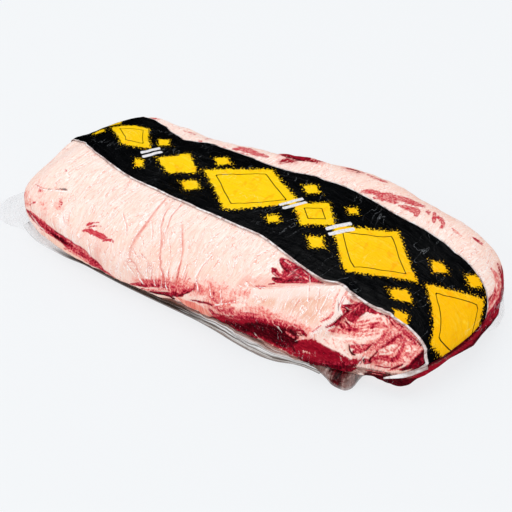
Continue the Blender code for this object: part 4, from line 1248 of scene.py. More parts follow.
def meat_material():
    """Pale streaky fat, crimson lean with flecks, pink flesh between them, and dark seams, with painted shade
    low on the flank and along the creases and painted highlights on the ridges and wrinkles.
    """
    m = Nodes("meat")
    flow = m.attribute("flow", "Vector")
    around = m.attribute("around", "Vector")
    end, lean, deep, rosy = m.attributes("end", "lean", "deep", "rosy")
    peach, salmon, tan = m.attributes("peach", "salmon", "tan")
    blush, relief_of, low, shade, cover = m.attributes("blush", "relief", "low", "shade", "cover")

    # fine streaks across the cut, turned to run down at the two ends
    bend = m.times(m.pattern(flow, (0.03, 0.02, 0.02), 1.0), 22.0)
    bent = m.add("ShaderNodeCombineXYZ", {"X": bend, "Y": bend})
    swayed = m.add("ShaderNodeVectorMath", operation="ADD")
    m.feed(swayed.inputs[0], flow)
    m.feed(swayed.inputs[1], bent.outputs[0])
    swayed = swayed.outputs[0]
    streak_top = m.pattern(swayed, (0.5, 0.045, 0.1), 3.0, 0.6)
    streak_end = m.pattern(around, (0.5, 0.045, 0.1), 3.0, 0.6)
    streak = m.average(end, streak_top, streak_end)
    hair = m.pattern(swayed, (0.9, 0.055, 0.2), 2.0, 0.55)
    fold = m.pattern(swayed, (0.17, 0.022, 0.08), 3.0, 0.6)
    small_fold = m.pattern(swayed, (0.36, 0.040, 0.15), 2.0, 0.55)
    broad = m.pattern(flow, (0.03, 0.03, 0.03), 3.0, 0.55)
    patch = m.pattern(flow, (0.13, 0.07, 0.11), 3.0, 0.6)
    speck = m.pattern(flow, (0.5, 0.35, 0.5), 3.0, 0.7)
    fleck = m.pattern(swayed, (0.60, 0.075, 0.3), 4.0, 0.7)

    fat = m.ramp(
        streak,
        (0.34, 247, 206, 191),
        (0.44, 251, 221, 208),
        (0.53, 252, 228, 215),
        (0.64, 254, 239, 230),
    )
    fat = m.mix(m.span(broad, 0.42, 0.70, 0.0, 0.3), fat, paint(250, 216, 200))
    fat = m.mix(m.times(low, 0.8), fat, paint(247, 200, 180))
    fat = m.mix(m.times(m.attribute("tint"), 0.82), fat, paint(234, 178, 151))
    fat = m.mix(m.span(hair, 0.55, 0.66, 0.0, 0.3), fat, paint(240, 176, 158))
    fat = m.mix(m.span(hair, 0.44, 0.34, 0.0, 0.4), fat, paint(255, 247, 242))
    # wrinkles: a pink line of painted shade with a white line of painted highlight beside it
    for place, most in ((fold, 0.95), (small_fold, 0.7)):
        some = m.span(patch, 0.36, 0.54, 0.25, most)
        pink = m.times(m.span(place, 0.497, 0.507), m.span(place, 0.526, 0.512))
        white = m.times(m.span(place, 0.503, 0.493), m.span(place, 0.470, 0.486))
        fat = m.mix(m.times(pink, some), fat, paint(236, 158, 140))
        fat = m.mix(m.times(white, some), fat, paint(255, 253, 250))
    fat = m.mix(m.span(patch, 0.60, 0.78, 0.0, 0.25), fat, paint(244, 188, 172))
    # painted shade in the grooves and painted highlight on the ridges, from the surface's relief
    fat = m.mix(m.span(relief_of, -0.12, -0.8, 0.0, 0.5), fat, paint(238, 160, 144))
    fat = m.mix(m.span(relief_of, 0.1, 0.7, 0.0, 0.45), fat, paint(255, 246, 241))
    fat = m.mix(m.times(m.span(peach, -3.0, 2.0), 0.8), fat, paint(247, 196, 170))
    salmon_tone = m.ramp(streak, (0.36, 226, 96, 84), (0.5, 238, 132, 112), (0.64, 248, 172, 152))
    fat = m.mix(m.span(salmon, -1.5, 1.0, 0.0, 0.92), fat, salmon_tone)

    # flesh between the fat and the lean, in streaks from pink to crimson
    tone = m.times_plus(m.centred(fleck), 0.8, m.times(blush, 0.55))
    tone = m.times_plus(m.minus(0.5, patch), 0.8, tone)
    tone = m.times_plus(m.minus(0.5, speck), 0.9, tone)
    flesh = m.ramp(
        tone,
        (0.16, 251, 214, 202),
        (0.34, 243, 168, 154),
        (0.52, 230, 116, 110),
        (0.70, 208, 62, 74),
        (0.92, 166, 18, 44),
    )
    fleshy = m.times(m.times(m.span(tone, 0.0, 0.24), m.span(blush, 0.0, 0.3)), m.span(salmon, 0.5, -1.5))
    colour = m.mix(fleshy, fat, flesh)

    # lean meat with a jagged edge
    ragged = m.centred(m.pattern(flow, (0.4, 0.13, 0.3), 5.0, 0.72))
    edge = m.times_plus(ragged, m.times_plus(rosy, -3.0, 9.0), lean)
    grain = m.pattern(flow, (0.20, 0.5, 0.4), 5.0, 0.7)
    red = m.ramp(
        grain,
        (0.30, 84, 0, 12),
        (0.43, 124, 1, 24),
        (0.55, 150, 7, 32),
        (0.66, 176, 30, 50),
        (0.76, 212, 100, 104),
    )
    mottled = m.pattern(flow, (0.42, 0.36, 0.8), 2.0, 0.6)
    rose = m.ramp(grain, (0.32, 176, 30, 52), (0.48, 206, 62, 74), (0.66, 230, 122, 120))
    red = m.mix(rosy, red, rose)
    shallow = m.span(lean, 7.0, 0.0)
    red = m.mix(m.times(shallow, 0.3), red, paint(196, 30, 52))
    pale_fleck = m.times(m.span(speck, 0.60, 0.70), shallow)
    red = m.mix(m.times(pale_fleck, 0.2), red, paint(226, 140, 138))
    behind = m.span(m.add("ShaderNodeSeparateXYZ", {0: flow}).outputs[2], 0.0, 6.0)
    holes = m.times(m.times(m.span(mottled, 0.5, 0.58), behind), rosy)
    red = m.mix(m.times(holes, 0.75), red, paint(240, 178, 168))
    smear = m.times(m.span(edge, -4.5, 0.6, 0.0, 0.5), m.span(rosy, 0.8, 0.0))
    colour = m.mix(smear, colour, paint(222, 104, 100))
    colour = m.mix(m.span(edge, -0.5, 0.6), colour, red)
    layers = m.pattern(flow, (0.06, 1.0, 0.5), 2.0)
    brown = m.ramp(layers, (0.36, 98, 58, 50), (0.5, 142, 94, 84), (0.64, 196, 158, 148))
    colour = m.mix(m.span(m.times_plus(ragged, 4.0, tan), -0.6, 0.8, 0.0, 0.9), colour, brown)

    # the dark lean; low on the flank, under the muscle and round the thick end its darkness is partly painted
    # shade
    gloom = m.times_plus(ragged, 8.0, deep)
    dark = m.ramp(grain, (0.34, 28, 0, 3), (0.54, 72, 1, 12), (0.64, 116, 8, 26), (0.76, 160, 40, 54))
    colour = m.mix(m.span(gloom, -1.2, 1.4, 0.0, 0.94), colour, dark)

    # the touches, from pale fat to nearly black
    redness = m.math("DIVIDE", shade, m.math("MAXIMUM", cover, 0.001))
    mottle = m.pattern(flow, (0.5, 0.42, 0.5), 2.5, 0.65)
    spread = m.times(m.centred(mottle), 1.1)
    spread = m.times_plus(m.centred(fleck), 0.9, spread)
    # the mottling is strongest half way between the palest and the darkest
    middling = m.times_plus(m.times(redness, m.minus(1.0, redness)), 3.2, 0.2)
    redness = m.times_plus(spread, middling, redness)
    laid = m.ramp(
        redness,
        (0.0, 255, 236, 225),
        (0.14, 251, 212, 199),
        (0.28, 243, 172, 159),
        (0.42, 231, 128, 122),
        (0.56, 214, 84, 90),
        (0.70, 184, 34, 58),
        (0.84, 136, 5, 30),
        (1.0, 52, 0, 10),
    )
    colour = m.mix(m.span(cover, 0.1, 0.9), colour, laid)

    # thin lines: the creases' painted shade and lip highlights, dark lines, and painted highlights
    broken = m.centred(m.pattern(flow, (0.5, 0.12, 0.4), 3.0, 0.7))
    # the creases' lines, darker as painted shade
    thread = m.math("MAXIMUM", m.within("line"), m.attribute("back_line"))
    strength = m.span(m.pattern(flow, (0.10, 0.10, 0.10), 3.0, 0.7), 0.40, 0.60, 0.25, 1.0)
    thread_share = m.times(m.span(m.times_plus(broken, 2.4, thread), -0.35, 0.35, 0.0, 0.62), strength)
    colour = m.mix(thread_share, colour, paint(221, 112, 102))
    # a painted highlight along one lip of each crease
    beside = m.minus(m.attribute("line_side"), m.attribute("line_width"))
    lip = m.times(m.span(beside, 0.1, 0.5), m.span(beside, 1.9, 1.1))
    lip = m.times(lip, m.span(m.attribute("line_width"), 0.0, 0.4))
    colour = m.mix(m.times(lip, m.span(broken, -0.08, 0.06, 0.15, 0.95)), colour, paint(255, 251, 247))
    slit = m.within("dark")
    colour = m.mix(m.span(m.times_plus(broken, 1.6, slit), -0.35, 0.3, 0.0, 0.7), colour, paint(116, 10, 30))
    # painted highlights where the film's wrinkles and the fat's ridge catch the light
    glint = m.within("gleam")
    glint_share = m.span(m.times_plus(broken, 3.0, glint), -0.35, 0.35, 0.0, 0.75)
    colour = m.mix(m.times(glint_share, strength), colour, paint(255, 232, 223))

    height = m.times_plus(streak, 0.6, m.times(hair, 0.3))
    height = m.times_plus(m.times(speck, m.span(edge, -1.0, 1.0)), 0.8, height)
    height = m.minus(height, m.span(thread, -0.9, 0.2, 0.0, 0.8))
    height = m.minus(height, m.span(slit, -0.9, 0.2, 0.0, 0.8))
    height = m.plus(height, m.span(glint, -0.7, 0.2, 0.0, 0.6))
    height = m.times_plus(m.span(fold, 0.47, 0.53), 0.5, height)
    roughness = m.span(m.plus(edge, speck), -1.0, 1.5, 0.5, 0.34)
    return m.shader(colour, roughness, m.bump(height, 0.34, 0.001), 0.04)


def film_material():
    """Clear glossy film with fine creases, and white along them and in thin wisps: painted highlights with a
    trace of milkiness.
    """
    m = Nodes("clear_film")
    flow = m.attribute("flow", "Vector")
    haze_and_highlight = m.attribute("haze_and_highlight")
    crease = m.pattern(flow, (0.32, 0.035, 0.2), 5.0, 0.65, 0.6)
    small = m.pattern(flow, (0.5, 0.14, 0.3), 3.0, 0.6)
    wander = m.pattern(flow, (0.14, 0.035, 0.08), 3.0, 0.6, 0.5)
    where = m.pattern(flow, (0.035, 0.05, 0.05), 2.0)
    fold = m.size_of(m.centred(wander))
    # wisps: thin white lines of painted highlight
    wisp = m.times(m.span(fold, 0.009, 0.0), m.span(where, 0.48, 0.62))
    wisp = m.times(wisp, m.span(small, 0.42, 0.6))
    normal = m.bump(m.times_plus(small, 0.3, crease), 0.55, 0.0016)
    white = paint(255, 255, 255)
    gloss = m.add("ShaderNodeBsdfGlossy", {"Color": white, "Roughness": 0.16, "Normal": normal})
    milk_and_highlight_white = m.add("ShaderNodeBsdfDiffuse", {"Color": paint(252, 246, 244), "Normal": normal})
    clear = m.add("ShaderNodeBsdfTransparent")
    # the white film: along the creases, as far as the film's milkiness reaches, and in the wisps; painted
    # highlights with a trace of milkiness
    milk_and_highlight_share = m.times(m.span(crease, 0.54, 0.72), haze_and_highlight)
    milk_and_highlight_share = m.times_plus(wisp, 0.36, milk_and_highlight_share, clamp=True)
    body = m.add("ShaderNodeMixShader", {0: milk_and_highlight_share, 1: clear.outputs[0], 2: milk_and_highlight_white.outputs[0]})
    shine = m.span(crease, 0.54, 0.74, 0.001, 0.03)
    surface = m.add("ShaderNodeMixShader", {0: shine, 1: body.outputs[0], 2: gloss.outputs[0]})
    return m.finish(surface.outputs[0])


def band_material():
    """Glossy black film with white edges, yellow diamonds and plain white bars, with painted shade in its
    crumples and painted highlights along its creases and wrinkles.
    """
    m = Nodes("printed_band")
    place = m.attribute("place", "Vector")
    edge, diamond, bar, warm = m.attributes("edge", "diamond", "bar", "warm")
    fine = m.pattern(place, (0.6, 0.6, 0.6), 3.0, 0.7)
    crease = m.pattern(place, (0.05, 0.16, 0.1), 5.0, 0.6, 1.2)
    crumple = m.pattern(place, (0.12, 0.05, 0.1), 4.0, 0.6, 0.8)
    wander = m.pattern(place, (0.034, 0.012, 0.02), 3.0, 0.6, 0.4)
    where = m.pattern(place, (0.02, 0.03, 0.02), 2.0)
    fold = m.size_of(m.centred(wander))
    wrinkle = m.times(m.span(fold, 0.007, 0.001), m.span(where, 0.47, 0.6))
    wrinkle = m.times(wrinkle, m.span(fine, 0.42, 0.6))
    black = m.ramp(crease, (0.35, 3, 4, 5), (0.66, 9, 10, 12))
    # painted highlights: pale grey wrinkle lines on the black
    black = m.mix(m.times(wrinkle, 0.32), black, paint(168, 172, 176))
    yellow = m.mix(warm, paint(255, 206, 10), paint(255, 190, 2))
    # orange in the crumples as painted shade, lighter along the creases and wrinkles as painted highlights
    yellow = m.mix(m.span(crumple, 0.52, 0.70, 0.0, 0.6), yellow, paint(252, 166, 0))
    yellow = m.mix(m.span(crease, 0.56, 0.74, 0.0, 0.5), yellow, paint(255, 222, 60))
    yellow = m.mix(m.times(wrinkle, 0.6), yellow, paint(255, 236, 130))
    ragged = m.centred(fine)
    torn = m.centred(m.pattern(place, (0.22, 0.22, 0.1), 6.0, 0.8))
    near = m.times_plus(torn, 13.0, diamond)
    grit = m.pattern(place, (0.42, 0.42, 0.2), 4.0, 0.7)
    spread = m.times_plus(m.centred(grit), 40.0, m.minus(diamond, 0.5))
    dust = m.times(m.span(spread, -0.4, 0.4), m.span(diamond, -9.0, -3.0))
    printed = m.math("MAXIMUM", m.span(near, -0.25, 0.25), dust)
    printed = m.times(printed, m.span(m.size_of(m.attribute("inset")), 0.35, 0.65))
    colour = m.mix(printed, black, yellow)
    white = m.ramp(fine, (0.3, 196, 190, 192), (0.6, 240, 238, 240))
    colour = m.mix(m.span(bar, -0.25, 0.25), colour, white)
    rim = m.span(m.times_plus(ragged, 0.6, edge), 1.15, 0.9)
    silver = m.ramp(crumple, (0.34, 160, 128, 122), (0.5, 216, 198, 194), (0.64, 246, 241, 240))
    colour = m.mix(rim, colour, silver)
    normal = m.bump(m.times_plus(crumple, 0.7, crease), 0.6, 0.002)
    return m.shader(colour, m.span(crease, 0.3, 0.7, 0.16, 0.3), normal, 0.12)


def loose_material(name, solid, lined):
    """Loose film pressed together. solid is how far from clear it is. lined adds dark and bright lines, with
    the strips' painted reflection, shade and highlights.
    """
    m = Nodes(name)
    place = m.attribute("place", "Vector")
    parts = m.add("ShaderNodeSeparateXYZ", {0: place})
    down, share = parts.outputs[1], parts.outputs[2]
    sway = m.pattern(place, (0.02, 1.5, 0.0), 2.0)
    strand = m.pattern(place, (0.025, 9.0, 0.0), 4.0, 0.65, 0.5)
    spots = m.pattern(place, (0.3, 5.0, 0.0), 4.0, 0.7)
    across = m.times_plus(m.centred(sway), 0.5, down)
    colour = strip_colour(m, across, strand, share) if lined else TAIL_GREY
    veil = m.span(strand, 0.35, 0.62, solid + 0.25, solid)
    veil = m.times_plus(m.centred(spots), 0.5, veil, clamp=True)
    veil = m.times(veil, m.span(down, 1.0, 0.9, 0.5, 1.0))
    veil = m.times(veil, m.span(share, 0.12, 0.24, 0.4, 1.0))
    normal = m.bump(m.times_plus(spots, 0.5, strand), 0.6, 0.002)
    return m.shader(colour, 0.25, normal, 0.3, Alpha=veil)


def strip_colour(m, across, strand, share):
    """The strips' colours: dark by the meat as its painted reflection and shade, silvery further along as
    painted sheen, with bright lines of painted highlight and dark lines.
    """
    # dark brown by the meat: the meat's painted reflection and shade in the film
    near = m.ramp(
        across,
        (0.08, 128, 64, 54),
        (0.24, 138, 88, 76),
        (0.38, 56, 42, 32),
        (0.54, 88, 64, 56),
        (0.68, 40, 30, 24),
        (0.84, 54, 42, 34),
        (0.98, 108, 82, 74),
    )
    # silvery further along: painted sheen
    silver = m.ramp(
        across,
        (0.06, 140, 96, 84),
        (0.20, 190, 160, 150),
        (0.34, 246, 245, 244),
        (0.46, 134, 124, 118),
        (0.56, 250, 250, 250),
        (0.68, 112, 100, 92),
        (0.80, 218, 214, 210),
        (0.95, 128, 106, 94),
    )
    colour = m.mix(m.span(share, 0.58, 0.7), near, silver)
    start = m.ramp(across, (0.2, 232, 214, 208), (0.8, 236, 235, 236))
    colour = m.mix(m.span(share, 0.22, 0.12), colour, start)
    # bright lines of painted highlight
    bright = m.times(m.span(strand, 0.55, 0.64), m.span(share, 0.5, 0.7, 0.15, 0.85))
    colour = m.mix(bright, colour, paint(240, 236, 234))
    return m.mix(m.span(strand, 0.47, 0.38, 0.0, 0.75), colour, paint(74, 56, 46))


def juice_material():
    """A loose corner of film: dark red juice in its middle, and cloudy pinkish film round it."""
    m = Nodes("juice_pocket")
    place = m.attribute("place", "Vector")
    parts = m.add("ShaderNodeSeparateXYZ", {0: place})
    down, share = parts.outputs[1], parts.outputs[2]
    cloud = m.pattern(place, (0.10, 3.0, 0.0), 4.0, 0.65)
    strand = m.pattern(place, (0.35, 1.2, 0.0), 4.0, 0.65, 0.4)
    fine = m.pattern(place, (0.6, 7.0, 0.0), 3.0, 0.7)
    aside = m.size_of(m.minus(share, 0.42))
    away = m.times_plus(aside, 1.5, m.times(down, 0.14))
    core = m.times_plus(m.centred(cloud), 0.5, away)
    rim = m.ramp(strand, (0.34, 92, 52, 44), (0.5, 132, 86, 76), (0.64, 192, 160, 152))
    red = m.ramp(strand, (0.34, 16, 0, 2), (0.50, 72, 0, 9), (0.66, 122, 10, 24))
    colour = m.mix(m.span(core, 0.30, 0.16), rim, red)
    by_stain = m.span(m.size_of(m.minus(share, 0.82)), 0.1, 0.03)
    brown = m.times(by_stain, m.span(down, 0.2, 0.5))
    colour = m.mix(m.times(brown, 0.7), colour, paint(66, 50, 40))
    # pale flecks of painted highlight on the film
    colour = m.mix(m.span(fine, 0.58, 0.68, 0.0, 0.25), colour, paint(226, 198, 190))
    veil = m.times(m.span(down, 1.0, 0.82, 0.55, 1.0), m.span(core, 0.34, 0.2, 0.8, 1.0))
    normal = m.bump(m.times_plus(fine, 0.4, strand), 0.6, 0.002)
    return m.shader(colour, 0.28, normal, 0.4, Alpha=veil)


def add_object(name, points, faces, material):
    """A smooth piece from its points in mm and its faces."""
    mesh = bpy.data.meshes.new(name)
    mesh.from_pydata([tuple(point) for point in (points + shift) * MM], [], faces)
    mesh.shade_smooth()
    mesh.materials.append(material)
    obj = bpy.data.objects.new(name, mesh)
    bpy.context.scene.collection.objects.link(obj)
    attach(obj, "root")
    return obj


def put(obj, values):
    """Gives each of the piece's points a value or a vector under each name."""
    for name, numbers in values.items():
        kind, key = ("FLOAT", "value") if numbers.ndim == 1 else ("FLOAT_VECTOR", "vector")
        layer = obj.data.attributes.new(name, kind, "POINT")
        layer.data.foreach_set(key, np.ascontiguousarray(numbers, np.float32).ravel())


def surface_of(cube, faces):
    """The pack's surface at a cube's points, in mm, and its outward ways. faces are all but the base."""
    smooth = slab(rounded(cube))
    points = smooth + outward(smooth, faces) * relief(smooth)[:, None]
    points[:, 2] = np.maximum(points[:, 2], 0)
    return points, outward(points, faces)


# The meat's grid, and the camera that the photo's places are read through
grid = Grid(*MEAT_CELLS, lambda loop: MEAT_EDGES)
skin, normals = surface_of(grid.cube, list(grid.quads.values()))
cad_low, cad_high = (np.array(corner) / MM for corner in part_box("brisket"))
shift = (cad_low + cad_high) / 2 - (skin.min(axis=0) + skin.max(axis=0)) / 2
shift[2] = 0
skin_tree = BVHTree.FromPolygons([tuple(point) for point in skin], grid.faces)

away = math.radians(CAMERA_ROUND)
up = math.radians(CAMERA_UP)
to_camera = Vector((math.sin(away) * math.cos(up), -math.cos(away) * math.cos(up), math.sin(up)))
camera_place = Vector(CAMERA_TARGET) + to_camera * CAMERA_DISTANCE
camera_turn = (-to_camera).to_track_quat("-Z", "Y")
eye = camera_place / MM - Vector(shift)


def ray_through(x, y):
    """The way from the camera through a pixel of the photo."""
    across, down = ((n - PHOTO_MIDDLE) / PHOTO_SIZE * SENSOR_WIDTH / CAMERA_LENS for n in (x, y))
    return camera_turn @ Vector((across, -down, -1))


@functools.lru_cache(maxsize=None)
def seen(x, y):
    """The skin behind a pixel, or behind the first one inwards that shows it: point, outward way and quad."""
    inwards = Vector((PHOTO_MIDDLE - x, PHOTO_MIDDLE - y)).normalized()
    for step in range(MOST_STEPS_INWARDS):
        point, way, quad, _ = skin_tree.ray_cast(eye, ray_through(x + inwards.x * step, y + inwards.y * step))
        if point:
            return tuple(point), tuple(way), quad
    raise ValueError(f"nothing of the pack is near the photo's point {x}, {y}")


def on_skin(stroke):
    """A stroke of the photo's points, on the skin."""
    return tuple((*seen(x, y)[0], half_width) for x, y, half_width in stroke)


def on_floor(x, y):
    """The point of the floor, in mm, behind a pixel of the photo."""
    way = ray_through(x, y)
    return np.array((eye - way * (eye.z / way.z)).xy)


def on_photo(points):
    """The photo's pixels at points in mm."""
    turn = np.array(camera_turn.to_matrix())
    local = (points - np.array(eye)) @ turn
    places = local[:, :2] / -local[:, 2:] * CAMERA_LENS / SENSOR_WIDTH * PHOTO_SIZE
    return PHOTO_MIDDLE + places * (1, -1)


def depth_in(drawn, hidden=()):
    """How far inside the strokes the skin's points are, in the photo or along the skin where it can't see."""
    shown = inside(skin_photo, drawn)
    along_skin = inside(skin, tuple(on_skin(stroke) for stroke in drawn))
    depth = facing * shown + (1 - facing) * along_skin
    return np.maximum(depth, inside(skin, hidden)) if hidden else depth


def zone(drawn, hidden, fade):
    """1 well inside the strokes, falling to 0 where a point is fade mm outside them."""
    return ease(depth_in(drawn, hidden), -fade, fade * 0.5)


def bearing(degrees):
    """The level way at an angle from the pack's length."""
    return np.array([math.cos(math.radians(degrees)), math.sin(math.radians(degrees))])


def facing_camera(points, ways):
    """1 where the surface faces the camera, 0 where it turns away."""
    to_eye = np.array(eye) - points
    return ease((to_eye * ways).sum(axis=1) / np.linalg.norm(to_eye, axis=1), *FACING)


# The meat and the clear film over it: the grid is cut finer where the touches and the lines are
quads = np.array(list(grid.quads.values()))
hearts = skin[quads].mean(axis=1)
drawn = tuple(stroke for _, stroke in TOUCHES) + DARK_LINES
chosen = (inside(on_photo(hearts), drawn) > -CUT_REACH) & (facing_camera(hearts, normals[quads[:, 0]]) > 0)
coarse_skin, base = skin, grid.faces[-1:]
meat_cube, meat_faces = refined(grid.cube, [tuple(quad) for quad in quads.tolist()], base, chosen)
skin, normals = surface_of(meat_cube, meat_faces[:-1])
skin_photo = on_photo(skin)
facing = facing_camera(skin, normals)
flow = flow_of(skin)
around = flow_of(skin[:, [1, 0, 2]])
end = ease(np.abs(normals[:, 0]), *END_FACE)
wobble = rough(skin, *WOBBLE)
rose = depth_in(ROSE) + RAGGED["rose"] * wobble
lean = np.maximum(depth_in(LEAN, HIDDEN_LEAN), LEAN_HEIGHT - skin[:, 2]) + RAGGED["lean"] * wobble
rosy = ease(rose - lean, *ROSY)
lean = np.maximum(lean, rose)
deep = depth_in(DEEP, HIDDEN_DEEP) + RAGGED["deep"] * rough(skin, *DEEP_WOBBLE)
pale = depth_in(PALE) + RAGGED["pale"] * rough(skin, *PALE_WOBBLE)
back_line = inside(skin, BACK_CREASES)
shows = np.where(facing > 0.5, 0.0, -2 * LINE_REACH)
line_side, line_width = nearest_line(skin_photo, LINES)
dark_side, dark_width = nearest_line(skin_photo, DARK_LINES)
gleam_side, gleam_width = nearest_line(skin_photo, GLEAM)
shade, cover = (values * facing for values in touched(skin_photo, TOUCHES))
peach = depth_in(PEACH) + wobble
salmon = depth_in(SALMON) + RAGGED["salmon"] * wobble
tan = depth_in(TAN) + RAGGED["tan"] * wobble
blush = zone(BLUSH, HIDDEN_BLUSH, BLUSH_FADE) * (BLUSH_SHARE + BLUSH_UNEVEN * wobble)
lean = np.minimum(lean, -pale)
blush = blush * ease(-pale, *NOT_PALE)
low_down = ease(flow[:, 1], *DOWN_THE_SIDE)
low_down *= LOW_AT_LEFT + LOW_MORE_AT_RIGHT * ease(skin[:, 0], *TO_THE_RIGHT)
tint = zone(TINT, (), TINT_FADE)
foot_of_it = ease(flow[:, 1], *FOOT_OF_SIDE)
blush = np.maximum(blush, LEAST_BLUSH * foot_of_it)

# what stands out of the skin, and how much of the grooves the film bridges
lifted = np.clip(skin[:, 2] / BASE_FADE, 0, 1)
pleats = rough(flow, *PLEATS) * (PLEAT_HEIGHT + PLEAT_MORE_AT_FOOT * foot_of_it)
pleats += rough(flow, *WIDE_PLEATS) * WIDE_PLEAT_HEIGHT * ease(flow[:, 1], *PLEATED)
crags = rough(skin, *CRAGS) + SMALL_CRAG_SHARE * rough(skin, *SMALL_CRAGS)
crags = CRAG_HEIGHT * crags * ease(lean, *CRAGGY)
carved = carve(skin)
own = (carved + pleats + crags) * lifted
meat_points = skin + normals * (MEAT_OUT + own)[:, None]
meat_points[:, 2] = np.maximum(meat_points[:, 2], MEAT_LEAST_HEIGHT)
bridged = np.maximum(carved, BRIDGED_DEPTH * carved) + pleats + crags
bridged = (bridged + FILM_CREASE_HEIGHT * rough(flow, *FILM_CREASES)) * lifted
film_points = skin + normals * (FILM_OUT + bridged)[:, None]
film_points[:, 2] = np.maximum(film_points[:, 2], 0)
# how much white the film shows along its creases over the fat: a trace of milkiness and painted highlights
haze_and_highlight = MOST_HAZE * ease(-lean, *HAZY)

meat = add_object("meat", meat_points, meat_faces, meat_material())
put(meat, {
    "lean": lean, "deep": deep, "rosy": rosy, "peach": peach, "salmon": salmon, "tan": tan, "blush": blush,
    "relief": carved + pleats, "end": end, "low": low_down, "tint": tint, "back_line": back_line,
    "line_side": line_side, "line_width": line_width + shows, "dark_side": dark_side,
    "dark_width": dark_width + shows, "gleam_side": gleam_side, "gleam_width": gleam_width + shows,
    "shade": shade, "cover": cover, "flow": flow, "around": around,
})
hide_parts("brisket")

film = add_object("clear_film", film_points, meat_faces, film_material())
put(film, {"flow": flow, "haze_and_highlight": haze_and_highlight})
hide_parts("brisket")


# The printed band: where its edges lie on the cube, from the photo
def on_band(x, y):
    """A pixel's place along the band's loop, and its share of the half width."""
    point, _, number = seen(x, y)
    quad = list(grid.faces[number])
    corners, cubes = coarse_skin[quad], grid.cube[quad]
    along_side, across_side = corners[1] - corners[0], corners[3] - corners[0]
    share_along = (np.array(point) - corners[0]) @ along_side / (along_side @ along_side)
    share_across = (np.array(point) - corners[0]) @ across_side / (across_side @ across_side)
    x, y, z = cubes[0] + share_along * (cubes[1] - cubes[0]) + share_across * (cubes[3] - cubes[0])
    return place_on_loop(x, z), min(y, WIDEST_EDGE)


front_places = FAR_FRONT_EDGE + tuple(on_band(x, y) for x, y in FRONT_EDGE)
back_places = FAR_BACK_EDGE + tuple(on_band(x, y) for x, y in BACK_EDGE)


@functools.lru_cache(maxsize=None)
def band_edges(loop):
    """The band's front and back edges across the cube, at a place along its loop."""
    if loop is None:
        return UNDER_EDGES
    return tuple(float(np.interp(loop, *zip(*places))) for places in (front_places, back_places))


def loop_lengths():
    """Places along the band's loop, and how far each is from the middle along its middle line, in mm."""
    left_end = np.linspace(-3, -1, STEPS_DOWN_END)
    over_top = np.linspace(-1, 1, STEPS_OVER_TOP)
    line = np.concatenate([left_end, over_top[1:-1], np.linspace(1, 3, STEPS_DOWN_END)])
    middle = np.array([np.mean(band_edges(float(place))) for place in line])
    over_end = np.abs(line) > 1
    cube = np.stack([np.clip(line, -1, 1), middle, np.where(over_end, 2 - np.abs(line), 1.0)], axis=1)
    points = slab(rounded(cube))
    lengths = np.concatenate([[0], np.cumsum(np.linalg.norm(np.diff(points, axis=0), axis=1))])
    return line, lengths - np.interp(0, line, lengths)


band_grid = Grid(*BAND_CELLS, band_edges)
band_skin, band_normals = surface_of(band_grid.cube, list(band_grid.quads.values()))
columns = range(band_grid.stops[1], band_grid.stops[2])
covered = [band_grid.quads["top", i, j] for i in range(band_grid.along) for j in columns]
for side, lowest in LOWEST_ROWS.items():
    covered += [band_grid.quads[side, j, k] for j in columns for k in range(lowest, band_grid.up)]
used = np.array(sorted({corner for quad in covered for corner in quad}))
order = {corner: n for n, corner in enumerate(used)}
where = band_skin[used]
cube = band_grid.cube[used]

# places on the band: along its loop and across it, both in mm
loop = place_on_loop(cube[:, 0], cube[:, 2])
ridge_loop, ridge_along = loop_lengths()
along = np.interp(loop, ridge_loop, ridge_along)
edges = np.array([band_edges(float(place)) for place in loop])
half = (np.interp(where[:, 0], STATIONS, BACK_SIDE) - np.interp(where[:, 0], STATIONS, FRONT_SIDE)) / 2
over = (cube[:, 1] - edges.mean(axis=1)) * half
front_rim = np.interp(along, RIM_PLACES, FRONT_RIM_WIDTHS)
edge = np.minimum((cube[:, 1] - edges[:, 0]) / front_rim, (edges[:, 1] - cube[:, 1]) / BACK_RIM_WIDTH) * half
place = np.stack([along, over, 0 * over], axis=1)
diamond = np.full(len(used), -FAR_OFF)
inset = np.full(len(used), FAR_OFF)
for middle, sideways, half_length, half_width in DIAMONDS:
    share = 1 - np.abs(along - middle) / half_length - np.abs(over - sideways) / half_width
    depth = share * half_length * half_width / math.hypot(half_length, half_width)
    if min(half_length, half_width) > INSET_LEAST:
        inset = np.where(depth > 0, depth - INSET, inset)
    diamond = np.maximum(diamond, depth)
diamond += RAGGED["diamond"] * rough(place, *DIAMOND_WOBBLE)
bar = np.full(len(used), -FAR_OFF)
for middle, sideways, half_length, half_width, degrees in BARS:
    run = bearing(degrees)
    dx, dy = along - middle, over - sideways
    lengthwise = np.abs(dx * run[0] + dy * run[1]) - half_length
    widthwise = np.abs(dy * run[0] - dx * run[1]) - half_width
    bar = np.maximum(bar, -np.maximum(lengthwise, widthwise))

# its two sides, with fine wrinkles
slanted = np.stack([along + SLANT[0] * over, over - SLANT[1] * along, 0 * over], axis=1)
wrinkle = BAND_WRINKLE_HEIGHT * rough(place, *BAND_WRINKLES)
wrinkle += SLANTED_WRINKLE_HEIGHT * rough(slanted, *SLANTED_WRINKLES)
lift = (WRINKLE_LIFT + wrinkle)[:, None]
inner = where + band_normals[used] * (BAND_OUT[0] + lift * INNER_SHARE)
outer = where + band_normals[used] * (BAND_OUT[1] + lift)
top = [tuple(order[corner] + len(used) for corner in quad) for quad in covered]
under = [tuple(order[corner] for corner in quad)[::-1] for quad in covered]
sides = {(quad[n], quad[(n + 1) % 4]) for quad in covered for n in range(4)}
open_sides = [(order[a], order[b]) for a, b in sides if (b, a) not in sides]
rim = [(a, b, b + len(used), a + len(used)) for a, b in open_sides]
band_points = [inner, outer]
band_faces = top + under + rim

